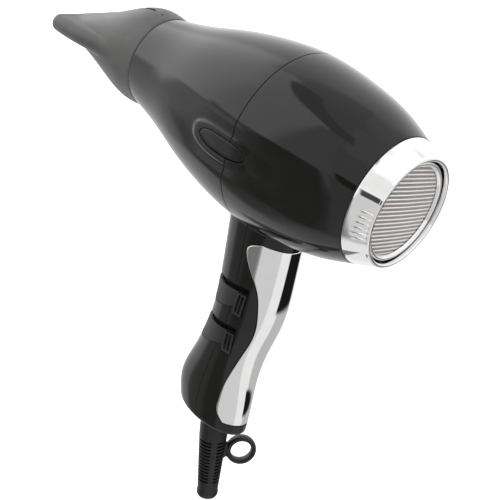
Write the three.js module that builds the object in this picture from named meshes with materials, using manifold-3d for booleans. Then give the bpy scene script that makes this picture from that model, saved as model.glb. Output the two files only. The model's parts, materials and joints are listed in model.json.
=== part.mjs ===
// A full-size hand-held hair dryer with its concentrator nozzle, chrome intake ring,
// chrome grip inlay, two slide switches and everything that it holds inside.
//
// Frame: millimetres, +Z up. The air flows along -X, so the nozzle points to -X and the
// intake faces +X. The handle hangs down along -Z. The origin is at the middle of the grip,
// where a hand holds the dryer; the barrel's axis runs along X at BARREL_AXIS above it.
// Inside this file every shape is drawn in the barrel's own frame: x = 0 is the seam between
// the two barrel shells, and y = z = 0 is the barrel's axis.

import * as THREE from "three";
import { mergeVertices } from "three/addons/utils/BufferGeometryUtils.js";
import Module from "manifold-3d";

const wasm = await Module();
wasm.setup();

// ---------------------------------------------------------------- driving dimensions

const BARREL_AXIS = 100; // height of the barrel's axis over the middle of the grip
const GRIP_SETBACK = 5; // the grip's middle lies this far behind the barrel's seam
const GAP = 0.3; // clearance between pieces that meet
const WALL = 2.0; // wall of the barrel shells
const HANDLE_WALL = 2.6; // wall of the handle shells

const JOINT_X = -94; // where the nozzle meets the front barrel
const RING_X = 62.9; // front edge of the chrome intake ring
const BARREL_RADIUS = [
  // x, radius of the barrel's outside
  [-94, 25.0], [-72, 30.2], [-50, 36.9], [-25, 42.7],
  [0, 45.3], [25, 43.3], [46, 38.9], [63, 32.2],
];

const HANDLE_CENTRE = [
  // z, x of the middle of the handle's oval section
  [-36, 0.5], [-70, 5], [-95, 6.7], [-115, 4.3], [-135, 1.6], [-150, 1.1], [-166, 4.0],
];
const HANDLE_HALF_DEPTH = [
  [-36, 22.4], [-70, 21.2], [-95, 20], [-115, 19.4], [-135, 21.8], [-150, 24.2], [-166, 22.4],
];
const HANDLE_HALF_WIDTH = [
  [-36, 15.6], [-70, 16.2], [-95, 16.6], [-115, 15.8], [-135, 14.6], [-150, 14.2], [-166, 13.2],
];
const HANDLE_TOP = -38; // the neck ends here, inside the barrel
const HANDLE_BOTTOM = -165;
const BOTTOM_ROUND = 4; // radius of the rounded bottom edge

const INLAY_THICK = 1.1;
const INLAY_EDGE = [
  // z, x of the front edge of the chrome inlay, seen from the side
  [-49, 13], [-51.5, 7.5], [-57, 6], [-64, 10.5], [-72, 16.5], [-82, 20.2], [-92, 21.8],
  [-102, 21.2], [-113, 18.6], [-124, 16], [-135, 13.9], [-146, 13.4], [-153, 14.8], [-157, 19],
];

const SWITCH_TRAVEL = 3; // both slide switches move up the handle by this much
const SWITCH_TOPS = { upper: -81, lower: -104.7 }; // z of each pad's front top edge, off
const PAD_HEIGHT = 14;
const WING_START = 2.8; // the sliders' side wings lie this far behind the handle's side seam
const WING_END = 7.6;
const WING_HEIGHT = 12.5;
const PAD_TOP_SLOPE = 0.155; // the pad's edges rise towards the rear by this much per mm
const PAD_BOTTOM_SLOPE = 0.4;
const PAD_FRONT = 18; // the pad's edges are at their stated height this far before the seam
const WING_LIFT = 3.5; // the wings' top lies this far above the pad's front top edge
const STEM_TOP = 4; // a slider's stem lies this far below the pad's top edge
const STEM_BOTTOM = 9;

const RELIEF_TILT = 12.5; // degrees that the cord sleeve leans back towards its end
const RELIEF_X = 5.8; // where its axis meets the handle's bottom
const RELIEF_LENGTH = 51.5; // below the handle
const CORD_BORE = 3.7; // radius of the hole for the cord

const SPIGOT_END = -107;
const HEATER_RADIUS = 20; // outside of the mica heat tube
const COIL_RADIUS = 14.6;
const DUCT_RADIUS = 33.6; // outside of the fan duct
const FAN_RADIUS = 30.8;
const STATOR_RADIUS = 16;
const SHAFT_RADIUS = 1.5;

const NOZZLE_TIP = -158;
const SLOT_HALF_WIDTH = 30;
const SLOT_HALF_HEIGHT = 5;
const NOZZLE_WALL = 1.7;

const ROUND = 24; // sides of the large round shapes
const FINE = 16; // sides of the small ones

// ---------------------------------------------------------------- materials

const finish = (color, roughness, metalness = 0) =>
  new THREE.MeshStandardMaterial({ color, roughness, metalness });
const glossBlack = finish(0x15181a, 0.08);
const satinGrey = finish(0x3c3e3c, 0.45);
const matteBlack = finish(0x1c1c1b, 0.6);
const rubberBlack = finish(0x202020, 0.7);
const chrome = finish(0xe6e6e3, 0.06, 1);
const steel = finish(0xb9b9b6, 0.35, 1);
const darkSteel = finish(0x6d6d70, 0.45, 1);
const mica = finish(0xb59a6a, 0.55);
const copper = finish(0xb5622f, 0.35, 1);
const brass = finish(0xc29a4a, 0.35, 1);
const carbon = finish(0x2a2a2c, 0.8);
const foam = finish(0x26262a, 0.95);
const plasticGrey = finish(0x8a8a86, 0.5);
const plasticRed = finish(0x8c2f24, 0.5);

// ---------------------------------------------------------------- scene graph

const hairDryer = new THREE.Group();
hairDryer.name = "hair_dryer";
const barrelFrame = new THREE.Group();
barrelFrame.position.set(-GRIP_SETBACK, 0, BARREL_AXIS);
hairDryer.add(barrelFrame);
const reliefFrame = new THREE.Group(); // its -Z axis runs down the cord sleeve
reliefFrame.position.set(RELIEF_X, 0, HANDLE_BOTTOM);
reliefFrame.rotation.y = -THREE.MathUtils.degToRad(RELIEF_TILT);
barrelFrame.add(reliefFrame);

function add(name, shape, material, frame = barrelFrame) {
  const geometry = shape instanceof THREE.BufferGeometry ? shape : toGeometry(shape);
  const mesh = new THREE.Mesh(geometry, material);
  mesh.name = name;
  frame.add(mesh);
  return mesh;
}

// ---------------------------------------------------------------- geometry helpers

// A smooth value through a table of [position, value] rows.
function smooth(table, t) {
  const rows = table[0][0] < table.at(-1)[0] ? table : [...table].reverse();
  const last = rows.length - 1;
  let i = 0;
  while (i < last - 1 && t > rows[i + 1][0]) i += 1;
  const slope = (k) => {
    const a = rows[Math.max(k - 1, 0)];
    const b = rows[Math.min(k + 1, last)];
    return (b[1] - a[1]) / (b[0] - a[0]);
  };
  const span = rows[i + 1][0] - rows[i][0];
  const u = THREE.MathUtils.clamp((t - rows[i][0]) / span, 0, 1);
  const rise = u * u * (3 - 2 * u);
  const leave = u * (1 - u) * (1 - u) * span * slope(i);
  const arrive = -u * u * (1 - u) * span * slope(i + 1);
  return rows[i][1] * (1 - rise) + rows[i + 1][1] * rise + leave + arrive;
}

const barrelRadius = (x) => smooth(BARREL_RADIUS, x);

const range = (from, to, steps) =>
  Array.from({ length: steps + 1 }, (_, i) => from + ((to - from) * i) / steps);

// A closed mesh as a solid, turned right side out if need be.
function toSolid(geometry) {
  const bare = geometry.clone();
  bare.deleteAttribute("normal");
  bare.deleteAttribute("uv");
  const merged = mergeVertices(bare, 1e-4);
  const vertProperties = new Float32Array(merged.attributes.position.array);
  const triVerts = new Uint32Array(merged.index.array);
  let volume = 0;
  const corner = (i) => new THREE.Vector3().fromArray(vertProperties, triVerts[i] * 3);
  for (let i = 0; i < triVerts.length; i += 3) {
    volume += corner(i).dot(corner(i + 1).cross(corner(i + 2)));
  }
  if (volume < 0) {
    for (let i = 0; i < triVerts.length; i += 3) {
      [triVerts[i], triVerts[i + 1]] = [triVerts[i + 1], triVerts[i]];
    }
  }
  return new wasm.Manifold(new wasm.Mesh({ numProp: 3, vertProperties, triVerts }));
}

function toGeometry(solid) {
  const mesh = solid.getMesh();
  const geometry = new THREE.BufferGeometry();
  geometry.setAttribute("position", new THREE.BufferAttribute(mesh.vertProperties, 3));
  geometry.setIndex(new THREE.BufferAttribute(mesh.triVerts, 1));
  const flat = geometry.toNonIndexed();
  flat.computeVertexNormals();
  return flat;
}

const joined = (solids) => solids.reduce((all, next) => all.add(next));
const without = (body, ...tools) => tools.reduce((rest, tool) => rest.subtract(tool), body);

// A solid of revolution about the barrel's axis from [x, radius] points; it closes itself.
function turned(points, sides = ROUND) {
  const onAxis = points[0][1] === 0 && points.at(-1)[1] === 0;
  const closed = onAxis ? points : [...points, points[0]];
  const profile = closed.map(([x, radius]) => new THREE.Vector2(radius, x));
  return toSolid(new THREE.LatheGeometry(profile, sides).rotateZ(-Math.PI / 2));
}

// The same about a vertical axis, from [radius, z] points.
function turnedUpright(points, sides = FINE) {
  const onAxis = points[0][0] === 0 && points.at(-1)[0] === 0;
  const closed = onAxis ? points : [...points, points[0]];
  const profile = closed.map(([radius, z]) => new THREE.Vector2(radius, z));
  return toSolid(new THREE.LatheGeometry(profile, sides).rotateX(Math.PI / 2));
}

function box(from, to) {
  const size = to.map((value, i) => value - from[i]);
  const middle = to.map((value, i) => (value + from[i]) / 2);
  return toSolid(new THREE.BoxGeometry(...size).translate(...middle));
}

// A rod along X, Y or Z between two places on that axis.
function rod(axis, from, to, radius, [u, v] = [0, 0], sides = FINE) {
  const geometry = new THREE.CylinderGeometry(radius, radius, to - from, sides);
  const middle = (from + to) / 2;
  if (axis === "x") geometry.rotateZ(-Math.PI / 2).translate(middle, u, v);
  if (axis === "y") geometry.translate(u, middle, v);
  if (axis === "z") geometry.rotateX(Math.PI / 2).translate(u, v, middle);
  return toSolid(geometry);
}

// A skin through rings of points, closed at both ends by a fan.
function loft(rings) {
  const count = rings[0].length;
  const centre = (ring) =>
    ring.reduce((sum, point) => sum.add(point), new THREE.Vector3()).divideScalar(count);
  const points = [...rings.flat(), centre(rings[0]), centre(rings.at(-1))];
  const first = rings.length * count;
  const top = (rings.length - 1) * count;
  const index = [];
  for (let side = 0; side < count; side += 1) {
    const next = (side + 1) % count;
    for (let row = 0; row < top; row += count) {
      index.push(row + side, row + next, row + count + next);
      index.push(row + side, row + count + next, row + count + side);
    }
    index.push(first, next, side);
    index.push(first + 1, top + side, top + next);
  }
  const geometry = new THREE.BufferGeometry().setFromPoints(points);
  geometry.setIndex(index);
  return toSolid(geometry);
}

// A flat outline of [x, z] points, given a thickness along Y.
function slab(points, fromY, toY) {
  const outline = new THREE.Shape(points.map(([x, z]) => new THREE.Vector2(x, z)));
  const geometry = new THREE.ExtrudeGeometry(outline, { depth: toY - fromY, bevelEnabled: false });
  return toSolid(geometry.rotateX(Math.PI / 2).translate(0, toY, 0));
}

// A flat outline in the YZ plane, given a thickness along X.
function plate(outline, fromX, toX) {
  const options = { depth: toX - fromX, bevelEnabled: false, curveSegments: ROUND / 2 };
  const geometry = new THREE.ExtrudeGeometry(outline, options);
  return toSolid(geometry.rotateY(Math.PI / 2).translate(fromX, 0, 0));
}

function circle(radius) {
  return new THREE.Shape().absarc(0, 0, radius, 0, 2 * Math.PI);
}

// ---------------------------------------------------------------- handle solids

// One oval ring of the handle's outside, grown by `out`.
function handleRing(z, out, sides = 20) {
  const lift = Math.max(0, HANDLE_BOTTOM + BOTTOM_ROUND - z) / BOTTOM_ROUND;
  const inset = BOTTOM_ROUND * (1 - Math.sqrt(Math.max(0, 1 - lift * lift)));
  const depth = smooth(HANDLE_HALF_DEPTH, z) + out - inset;
  const width = smooth(HANDLE_HALF_WIDTH, z) + out - inset;
  return range(0, 2 * Math.PI * (1 - 1 / sides), sides - 1).map(
    (turn) =>
      new THREE.Vector3(
        smooth(HANDLE_CENTRE, z) + depth * Math.cos(turn),
        width * Math.sin(turn),
        z,
      ),
  );
}

function handleSolid(out, bottom = HANDLE_BOTTOM, top = HANDLE_TOP, steps = 9) {
  const straight = Math.max(bottom, HANDLE_BOTTOM + BOTTOM_ROUND);
  const heights = range(top, straight, steps);
  if (bottom < straight) heights.push(...range(straight, bottom, 3).slice(1));
  return loft(heights.map((z) => handleRing(z, out)));
}

// Everything in front of the handle's side seam (side -1) or behind it (side 1).
function seamHalf(side) {
  const clear = (side * GAP) / 2;
  const far = side * 60;
  const seam = range(-30, -172, 10).map((z) => [smooth(HANDLE_CENTRE, z) + clear, z]);
  return slab([[far, -30], ...seam, [far, -172]], -30, 30);
}

// ---------------------------------------------------------------- barrel shells

const barrelOutside = turned([
  [JOINT_X, 0],
  ...range(JOINT_X, RING_X, 12).map((x) => [x, barrelRadius(x)]),
  [RING_X, 0],
]);
const barrelInside = turned([
  [JOINT_X, 0],
  ...range(JOINT_X, RING_X, 12).map((x) => [x, barrelRadius(x) - WALL]),
  [RING_X, 0],
]);
const neckHole = handleSolid(GAP, -54, HANDLE_TOP + 8, 4);

// An oval outline for the plug on each side of the barrel and for its hole.
const PLUG_MIDDLE = -5.7;
const PLUG_HALF_LENGTH = 15;
const PLUG_HALF_HEIGHT = 4;
function plugPrism(out) {
  const points = range(0, 2 * Math.PI * (1 - 1 / 16), 15).map((turn) => {
    const along = Math.sign(Math.cos(turn)) * Math.abs(Math.cos(turn)) ** 0.8;
    return [
      PLUG_MIDDLE + (PLUG_HALF_LENGTH + out) * along,
      (PLUG_HALF_HEIGHT + out) * Math.sin(turn),
    ];
  });
  return slab(points, -50, 50);
}

function buildBarrel() {
  const seam = GAP / 2;
  const tongue = barrelRadius(0) - WALL - GAP;
  const spigotOut = 22.2;
  const spigotIn = 20.6;
  const frontShell = turned([
    [SPIGOT_END, spigotIn],
    [SPIGOT_END, spigotOut],
    [JOINT_X, spigotOut],
    ...range(JOINT_X, -seam, 7).map((x) => [x, barrelRadius(x)]),
    [-seam, tongue],
    [4, tongue],
    [4, tongue - 1.4],
    [-4, tongue - 1.4],
    ...range(-7, -88, 5).map((x) => [x, barrelRadius(x) - WALL]),
    [-92, spigotIn],
  ]);
  const rearShell = turned([
    ...range(seam, RING_X - GAP, 5).map((x) => [x, barrelRadius(x)]),
    [RING_X - GAP, 29.8],
    [60.4, 29.8],
    ...range(59, seam, 4).map((x) => [x, barrelRadius(x) - WALL]),
  ]);
  add("front_barrel", without(frontShell, neckHole, plugPrism(GAP)), glossBlack);
  add("rear_barrel", without(rearShell, neckHole, plugPrism(GAP)), glossBlack);

  const plugs = plugPrism(0).intersect(barrelOutside).subtract(barrelInside);
  add("side_plug_left", plugs.intersect(box([-40, -60, -20], [20, 0, 20])), glossBlack);
  add("side_plug_right", plugs.intersect(box([-40, 0, -20], [20, 60, 20])), glossBlack);
}

// ---------------------------------------------------------------- handle shells and inlay

// The region of the chrome inlay as a prism along Y; it grows by `out` all round.
function inlayPrism(out) {
  const points = range(0, 1, 15).map((t) => {
    const z = THREE.MathUtils.lerp(INLAY_EDGE[0][0], INLAY_EDGE.at(-1)[0], t);
    return [smooth(INLAY_EDGE, z) - out, z];
  });
  const top = INLAY_EDGE[0][0] + out;
  const bottom = INLAY_EDGE.at(-1)[0] - out - 0.5;
  return slab([[40, top], [points[0][0], top], ...points, [24, bottom], [40, bottom]], -30, 30);
}

// The side outlines of one slide switch: its pad and the grip wing behind the pad.
// They grow by `grow` all round, and by `lift` at the top.
function switchOutlines(top, grow, lift) {
  const seam = smooth(HANDLE_CENTRE, top);
  const upper = (x) => top + PAD_TOP_SLOPE * (x - seam + PAD_FRONT) + grow + lift;
  const lower = (x) => top - PAD_HEIGHT + PAD_BOTTOM_SLOPE * (x - seam + PAD_FRONT) - grow;
  const padEnd = seam + WING_START + 0.5;
  const wingStart = seam + WING_START - grow;
  const wingEnd = seam + WING_END + grow;
  const wingTop = top + WING_LIFT + grow + lift;
  const wingBottom = wingTop - WING_HEIGHT - 2 * grow - lift;
  return {
    pad: [[-30, upper(-30)], [padEnd, upper(padEnd)], [padEnd, lower(padEnd)], [-30, lower(-30)]],
    wing: [
      [wingStart, wingTop],
      [wingEnd, wingTop],
      [wingEnd, wingBottom],
      [wingStart, wingBottom],
    ],
  };
}

// The part of the handle's surface inside a side outline, from `inner` to `outer` off it.
function handlePatch(outline, inner, outer) {
  return handleSolid(outer).subtract(handleSolid(inner)).intersect(slab(outline, -30, 30));
}

// The recess that one slide switch moves in.
function switchRecess(top) {
  const { pad, wing } = switchOutlines(top, GAP, SWITCH_TRAVEL);
  return handlePatch(pad, -1.7, 5).add(handlePatch(wing, -1.7, 5));
}

const GRIP_SCREWS = [-66, -140]; // heights of the two screws that close the handle
const SCREW_HEAD_X = 19; // under side of the screw heads

function screwAlongHandle(z) {
  const shank = rod("x", -10, SCREW_HEAD_X, 1.3, [0, z], 12);
  const head = rod("x", SCREW_HEAD_X - 0.1, SCREW_HEAD_X + 1.9, 2.7, [0, z], 12);
  const cross = joined([
    box([SCREW_HEAD_X + 1, -1.6, z - 0.35], [SCREW_HEAD_X + 3, 1.6, z + 0.35]),
    box([SCREW_HEAD_X + 1, -0.35, z - 1.6], [SCREW_HEAD_X + 3, 0.35, z + 1.6]),
  ]);
  return shank.add(head).subtract(cross);
}

// The cord sleeve passes the handle's floor; its head is caught inside.
const RELIEF_RADIUS = 7.9;
const RELIEF_HEAD = 10.2;
function reliefPassage() {
  const radius = RELIEF_RADIUS + 2 * GAP;
  const hole = turnedUpright([[0, -12], [radius, -12], [radius, 14], [0, 14]]);
  return hole.rotate([0, -RELIEF_TILT, 0]).translate([RELIEF_X, 0, HANDLE_BOTTOM]);
}

function buildHandle() {
  const outside = handleSolid(0);
  const inside = handleSolid(-HANDLE_WALL, HANDLE_BOTTOM + HANDLE_WALL, HANDLE_TOP + 4);
  const hollow = outside.subtract(inside);
  const bosses = joined(GRIP_SCREWS.map((z) => rod("x", -30, 30, 3.4, [0, z], 16)));
  const frontReach = box([-30, -10, -170], [-1.5, 10, -30]);
  const rearReach = box([16, -10, -170], [40, 10, -30]);
  const bossesInside = bosses.intersect(outside);
  const shells = hollow
    .add(bossesInside.intersect(frontReach))
    .add(bossesInside.intersect(rearReach));
  const screwHoles = joined(
    GRIP_SCREWS.flatMap((z) => [
      rod("x", -10.6, 30, 1.3 + GAP, [0, z], 12),
      rod("x", SCREW_HEAD_X - GAP, 40, 2.7 + GAP, [0, z], 16),
    ]),
  );
  const recesses = Object.values(SWITCH_TOPS).map(switchRecess);
  const stemSlots = Object.values(SWITCH_TOPS).map((top) =>
    box([-30, -3.3, top - STEM_BOTTOM - GAP], [-4, 3.3, top - STEM_TOP + SWITCH_TRAVEL + GAP]),
  );
  const inlayPocket = inlayPrism(GAP).subtract(handleSolid(-INLAY_THICK - GAP));
  const cut = without(shells, screwHoles, inlayPocket, reliefPassage(), ...recesses, ...stemSlots);
  add("handle_front_shell", cut.intersect(seamHalf(-1)), glossBlack);
  add("handle_rear_shell", cut.intersect(seamHalf(1)), glossBlack);
  const inlay = handleSolid(0).subtract(handleSolid(-INLAY_THICK)).intersect(inlayPrism(0));
  add("grip_inlay", inlay, chrome);
  add("handle_screw_upper", screwAlongHandle(GRIP_SCREWS[0]), steel);
  add("handle_screw_lower", screwAlongHandle(GRIP_SCREWS[1]), steel);
}

// ---------------------------------------------------------------- switches

function buildSwitch(name, top) {
  const { pad, wing } = switchOutlines(top, 0, 0);
  const frontAt = (z) => smooth(HANDLE_CENTRE, z) - smooth(HANDLE_HALF_DEPTH, z);
  const front = Math.max(frontAt(top), frontAt(top - PAD_HEIGHT));
  const stem = box([front + 0.2, -2.8, top - STEM_BOTTOM], [front + 7, 2.8, top - STEM_TOP]);
  const saddle = handlePatch(pad, -1.2, 0.3).add(handlePatch(wing, -1.2, 1.6));
  add(`${name}_switch_slider`, saddle.add(stem), matteBlack);

  // The fixed contact block, with a groove that the slider's stem runs in.
  const block = box([front + 5.2, -6.5, top - 15], [front + 17, 6.5, top + 2]);
  const groove = box([front + 5, -3.3, top - STEM_BOTTOM - GAP], [front + 7 + GAP, 3.3, top + 3]);
  const tabs = joined(
    [-4, 0, 4].map((y) => box([front + 16.9, y - 0.4, top - 8], [front + 20, y + 0.4, top - 5])),
  );
  add(`${name}_switch_block`, block.subtract(groove).add(tabs), plasticRed);
}

// ---------------------------------------------------------------- cord sleeve and clamp

const LOOP_DOWN = 22; // the hang loop's centre below the handle
const LOOP_OUT = 16.6; // and out from the sleeve's axis
const LOOP_TURN = 52.6; // degrees round the sleeve from straight back, towards the right
const LOOP_MIDDLE_RADIUS = 7.3;

function buildRelief() {
  const sleeve = turnedUpright([
    [CORD_BORE, 9],
    [RELIEF_HEAD, 9],
    [RELIEF_HEAD, 5.6],
    [RELIEF_RADIUS, 5.6],
    [RELIEF_RADIUS, -12],
    [5.9, -RELIEF_LENGTH + 5],
    [6.1, -RELIEF_LENGTH + 3],
    [6.1, -RELIEF_LENGTH + 1.5],
    [5.2, -RELIEF_LENGTH],
    [CORD_BORE, -RELIEF_LENGTH],
  ]);
  // The ring stands in a plane through the sleeve's axis.
  const band = [
    [LOOP_MIDDLE_RADIUS - 1.5, -2],
    [LOOP_MIDDLE_RADIUS - 0.8, -3],
    [LOOP_MIDDLE_RADIUS + 0.8, -3],
    [LOOP_MIDDLE_RADIUS + 1.5, -2],
    [LOOP_MIDDLE_RADIUS + 1.5, 2],
    [LOOP_MIDDLE_RADIUS + 0.8, 3],
    [LOOP_MIDDLE_RADIUS - 0.8, 3],
    [LOOP_MIDDLE_RADIUS - 1.5, 2],
  ];
  const ring = turnedUpright(band, 20).rotate([90, 0, 0]).translate([LOOP_OUT, 0, -LOOP_DOWN]);
  const web = slab(
    [
      [6, -LOOP_DOWN + 5.6],
      [6, -LOOP_DOWN - 5.6],
      [LOOP_OUT - 6.9, -LOOP_DOWN - 3.6],
      [LOOP_OUT - 6.9, -LOOP_DOWN + 3.6],
    ],
    -1.8,
    1.8,
  );
  const loop = ring.add(web).rotate([0, 0, LOOP_TURN]);
  add("strain_relief", sleeve.add(loop), rubberBlack, reliefFrame);

  // A two-screw bar that grips the cord above the sleeve's head.
  const clamp = box([-9.2, -8, 12], [9.2, 8, 16]);
  const saddle = rod("z", 9.5, 24, CORD_BORE, [0, 0]);
  const holes = [-6.6, 6.6].map((x) => rod("z", 10, 24, 1.3 + GAP, [x, 0], 12));
  add("cord_clamp", without(clamp, saddle, ...holes), plasticGrey, reliefFrame);
  for (const [label, x] of [["front", 6.6], ["rear", -6.6]]) {
    const screw = rod("z", 9.6, 16.4, 1.3, [x, 0], 12).add(rod("z", 16.3, 18, 2.4, [x, 0], 12));
    add(`cord_clamp_screw_${label}`, screw, steel, reliefFrame);
  }
}

// ---------------------------------------------------------------- intake: ring and filter

function buildIntake() {
  add(
    "intake_ring",
    turned([
      [RING_X, 32.2],
      [66.5, 30.8],
      [73.2, 27.8],
      [74.2, 27.1],
      [74.6, 26.5],
      [74.4, 25.9],
      [73.6, 25.7],
      [66, 25.7],
      [66, 28],
      [57.5, 28],
      [57.5, 29.3],
      [RING_X, 29.3],
    ], 32),
    chrome,
  );
  add(
    "filter_carrier",
    turned([
      [57, 23.9],
      [57, 25.4],
      [71.6, 25.4],
      [72.6, 25.0],
      [73.0, 24.1],
      [72.8, 23.2],
      [72.0, 22.5],
      [71.3, 22.5],
      [71.3, 23.9],
    ]),
    chrome,
  );
  const disc = (from, to, radius) => turned([[from, 0], [from, radius], [to, radius], [to, 0]]);
  add("filter_mesh", disc(70.2, 71.0, 23.6), steel);
  add("foam_filter", disc(62, 69.9, 23.5), foam);
}

// ---------------------------------------------------------------- fan and motor

function buildMotor() {
  // Stator: a laminated ring with windows for the two field windings.
  const sector = (inner, outer, middle, half) => {
    const hole = new THREE.Path();
    hole.absarc(0, 0, outer, middle - half, middle + half, false);
    hole.absarc(0, 0, inner, middle + half, middle - half, true);
    return hole;
  };
  const stack = circle(STATOR_RADIUS);
  stack.holes.push(new THREE.Path().absarc(0, 0, 10.3, 0, 2 * Math.PI, true));
  for (const middle of [0, Math.PI]) stack.holes.push(sector(11.2, 14.8, middle, 0.85));
  add("stator_stack", plate(stack, 4, 26), darkSteel);
  for (const [name, middle] of [["upper", Math.PI], ["lower", 0]]) {
    const winding = new THREE.Shape();
    winding.absarc(0, 0, 14.4, middle - 0.8, middle + 0.8, false);
    winding.absarc(0, 0, 11.6, middle + 0.8, middle - 0.8, true);
    add(`field_winding_${name}`, plate(winding, 1.6, 28.4), copper);
  }

  // Armature: slotted core, end windings, commutator and shaft.
  const core = without(
    rod("x", 4, 26, 9.8, [0, 0], 36),
    rod("x", 3, 27, SHAFT_RADIUS + GAP, [0, 0], 12),
    ...range(0, 11, 11).map((i) =>
      box([3, 7, -0.7], [27, 11, 0.7]).rotate([i * 30 + 15, 0, 0]),
    ),
  );
  add("rotor_core", core, darkSteel);
  const ringOf = (from, to, inner, outer, bulge = 0) =>
    turned([
      [from, inner],
      [from, outer - bulge],
      [from + bulge, outer],
      [to - bulge, outer],
      [to, outer - bulge],
      [to, inner],
    ].filter((point, i, all) => i === 0 || point.join() !== all[i - 1].join()), FINE);
  add("armature_winding_front", ringOf(-0.6, 3.7, 3.2, 8.4, 1.2), copper);
  add("armature_winding_rear", ringOf(26.3, 30, 2.4, 8.4, 1.2), copper);
  add("commutator", ringOf(-9, -1.0, SHAFT_RADIUS + GAP, 5), copper);
  add("motor_shaft", rod("x", -16, 53.4, SHAFT_RADIUS, [0, 0], 12), steel);
  for (const [name, side] of [["left", -1], ["right", 1]]) {
    const brush = box([-7.5, 5.4, -2], [-2.5, 15, 2]).rotate([side > 0 ? 0 : 180, 0, 0]);
    add(`brush_${name}`, brush, carbon);
  }

  // End brackets with bearing seats; the front one holds the brushes.
  const seat = 4.6;
  const frontBracket = turned([
    [-17, 2.4], [-17, seat + 1.6], [-12, seat + 1.6], [-11, 15.6], [1.2, 15.6],
    [1.2, 14.9], [-9.6, 14.9], [-10.6, seat], [-15.6, seat], [-15.6, 2.4],
  ]);
  const brushWindow = box([-7.5 - GAP, -20, -2 - GAP], [-2.5 + GAP, 20, 2 + GAP]);
  add("front_bracket", frontBracket.subtract(brushWindow), plasticGrey);
  const rearBracket = turned([
    [35.4, 2.4], [35.4, seat + 1.6], [31.6, seat + 1.6], [30.6, 15.6], [28.7, 15.6],
    [28.7, 14.8], [29.9, 14.8], [30.6, seat], [34, seat], [34, 2.4],
  ]);
  add("rear_bracket", rearBracket, plasticGrey);
  add("front_bearing", ringOf(-15.3, -11, SHAFT_RADIUS + GAP, seat - GAP), brass);
  add("rear_bearing", ringOf(31.2, 33.7, SHAFT_RADIUS + GAP, seat - GAP), brass);

  // Duct and guide vanes; the hub grips the stator through a rubber sleeve.
  const duct = turned([
    [-24, HEATER_RADIUS + 1.4], [-24, HEATER_RADIUS + 2.6], [-14, 27], [-4, 33],
    [2, DUCT_RADIUS], [54, DUCT_RADIUS], [54, DUCT_RADIUS - 1.2], [2, DUCT_RADIUS - 1.2],
    [-4, 31.7], [-14, 25.7],
  ]);
  const hub = turned([[8, 17.9], [8, 19.4], [24, 19.4], [24, 17.9]]);
  const vane = box([9, 19, -0.6], [22, DUCT_RADIUS - 0.6, 0.6]);
  const vanes = range(0, 5, 5).map((i) => vane.rotate([i * 60 + 30, 0, 0]));
  add("fan_duct", joined([duct, hub, ...vanes]), matteBlack);
  add("motor_damper", turned([[9, 16.3], [9, 17.6], [23, 17.6], [23, 16.3]]), rubberBlack);

  // Axial impeller with twisted blades.
  const hubShape = turned([
    [38, SHAFT_RADIUS + GAP], [38, 11.4], [47, 11.4], [51, 8.5], [51, SHAFT_RADIUS + GAP],
  ]);
  const blade = loft(
    [10.6, 21, FAN_RADIUS].map((radius, i) => {
      const pitch = THREE.MathUtils.degToRad(34 + 10 * i);
      const chord = new THREE.Vector3(Math.cos(pitch), Math.sin(pitch), 0).multiplyScalar(6.5);
      const across = new THREE.Vector3(-Math.sin(pitch), Math.cos(pitch), 0).multiplyScalar(0.55);
      const middle = new THREE.Vector3(44.2, 0, radius);
      return [[-1, -1], [1, -1], [1, 1], [-1, 1]].map(([c, a]) =>
        middle.clone().addScaledVector(chord, c).addScaledVector(across, a),
      );
    }),
  );
  const blades = range(0, 8, 8).map((i) => blade.rotate([i * 40, 0, 0]));
  const shaftHole = rod("x", 30, 60, SHAFT_RADIUS + GAP, [0, 0], 12);
  add("impeller", joined([hubShape, ...blades]).subtract(shaftHole), matteBlack);
  const nut = new THREE.CylinderGeometry(3.2, 3.2, 1.8, 6).rotateZ(-Math.PI / 2);
  const nutSolid = toSolid(nut.translate(52.3, 0, 0));
  add("impeller_nut", nutSolid.subtract(shaftHole), brass);
}

// ---------------------------------------------------------------- heater

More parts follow.
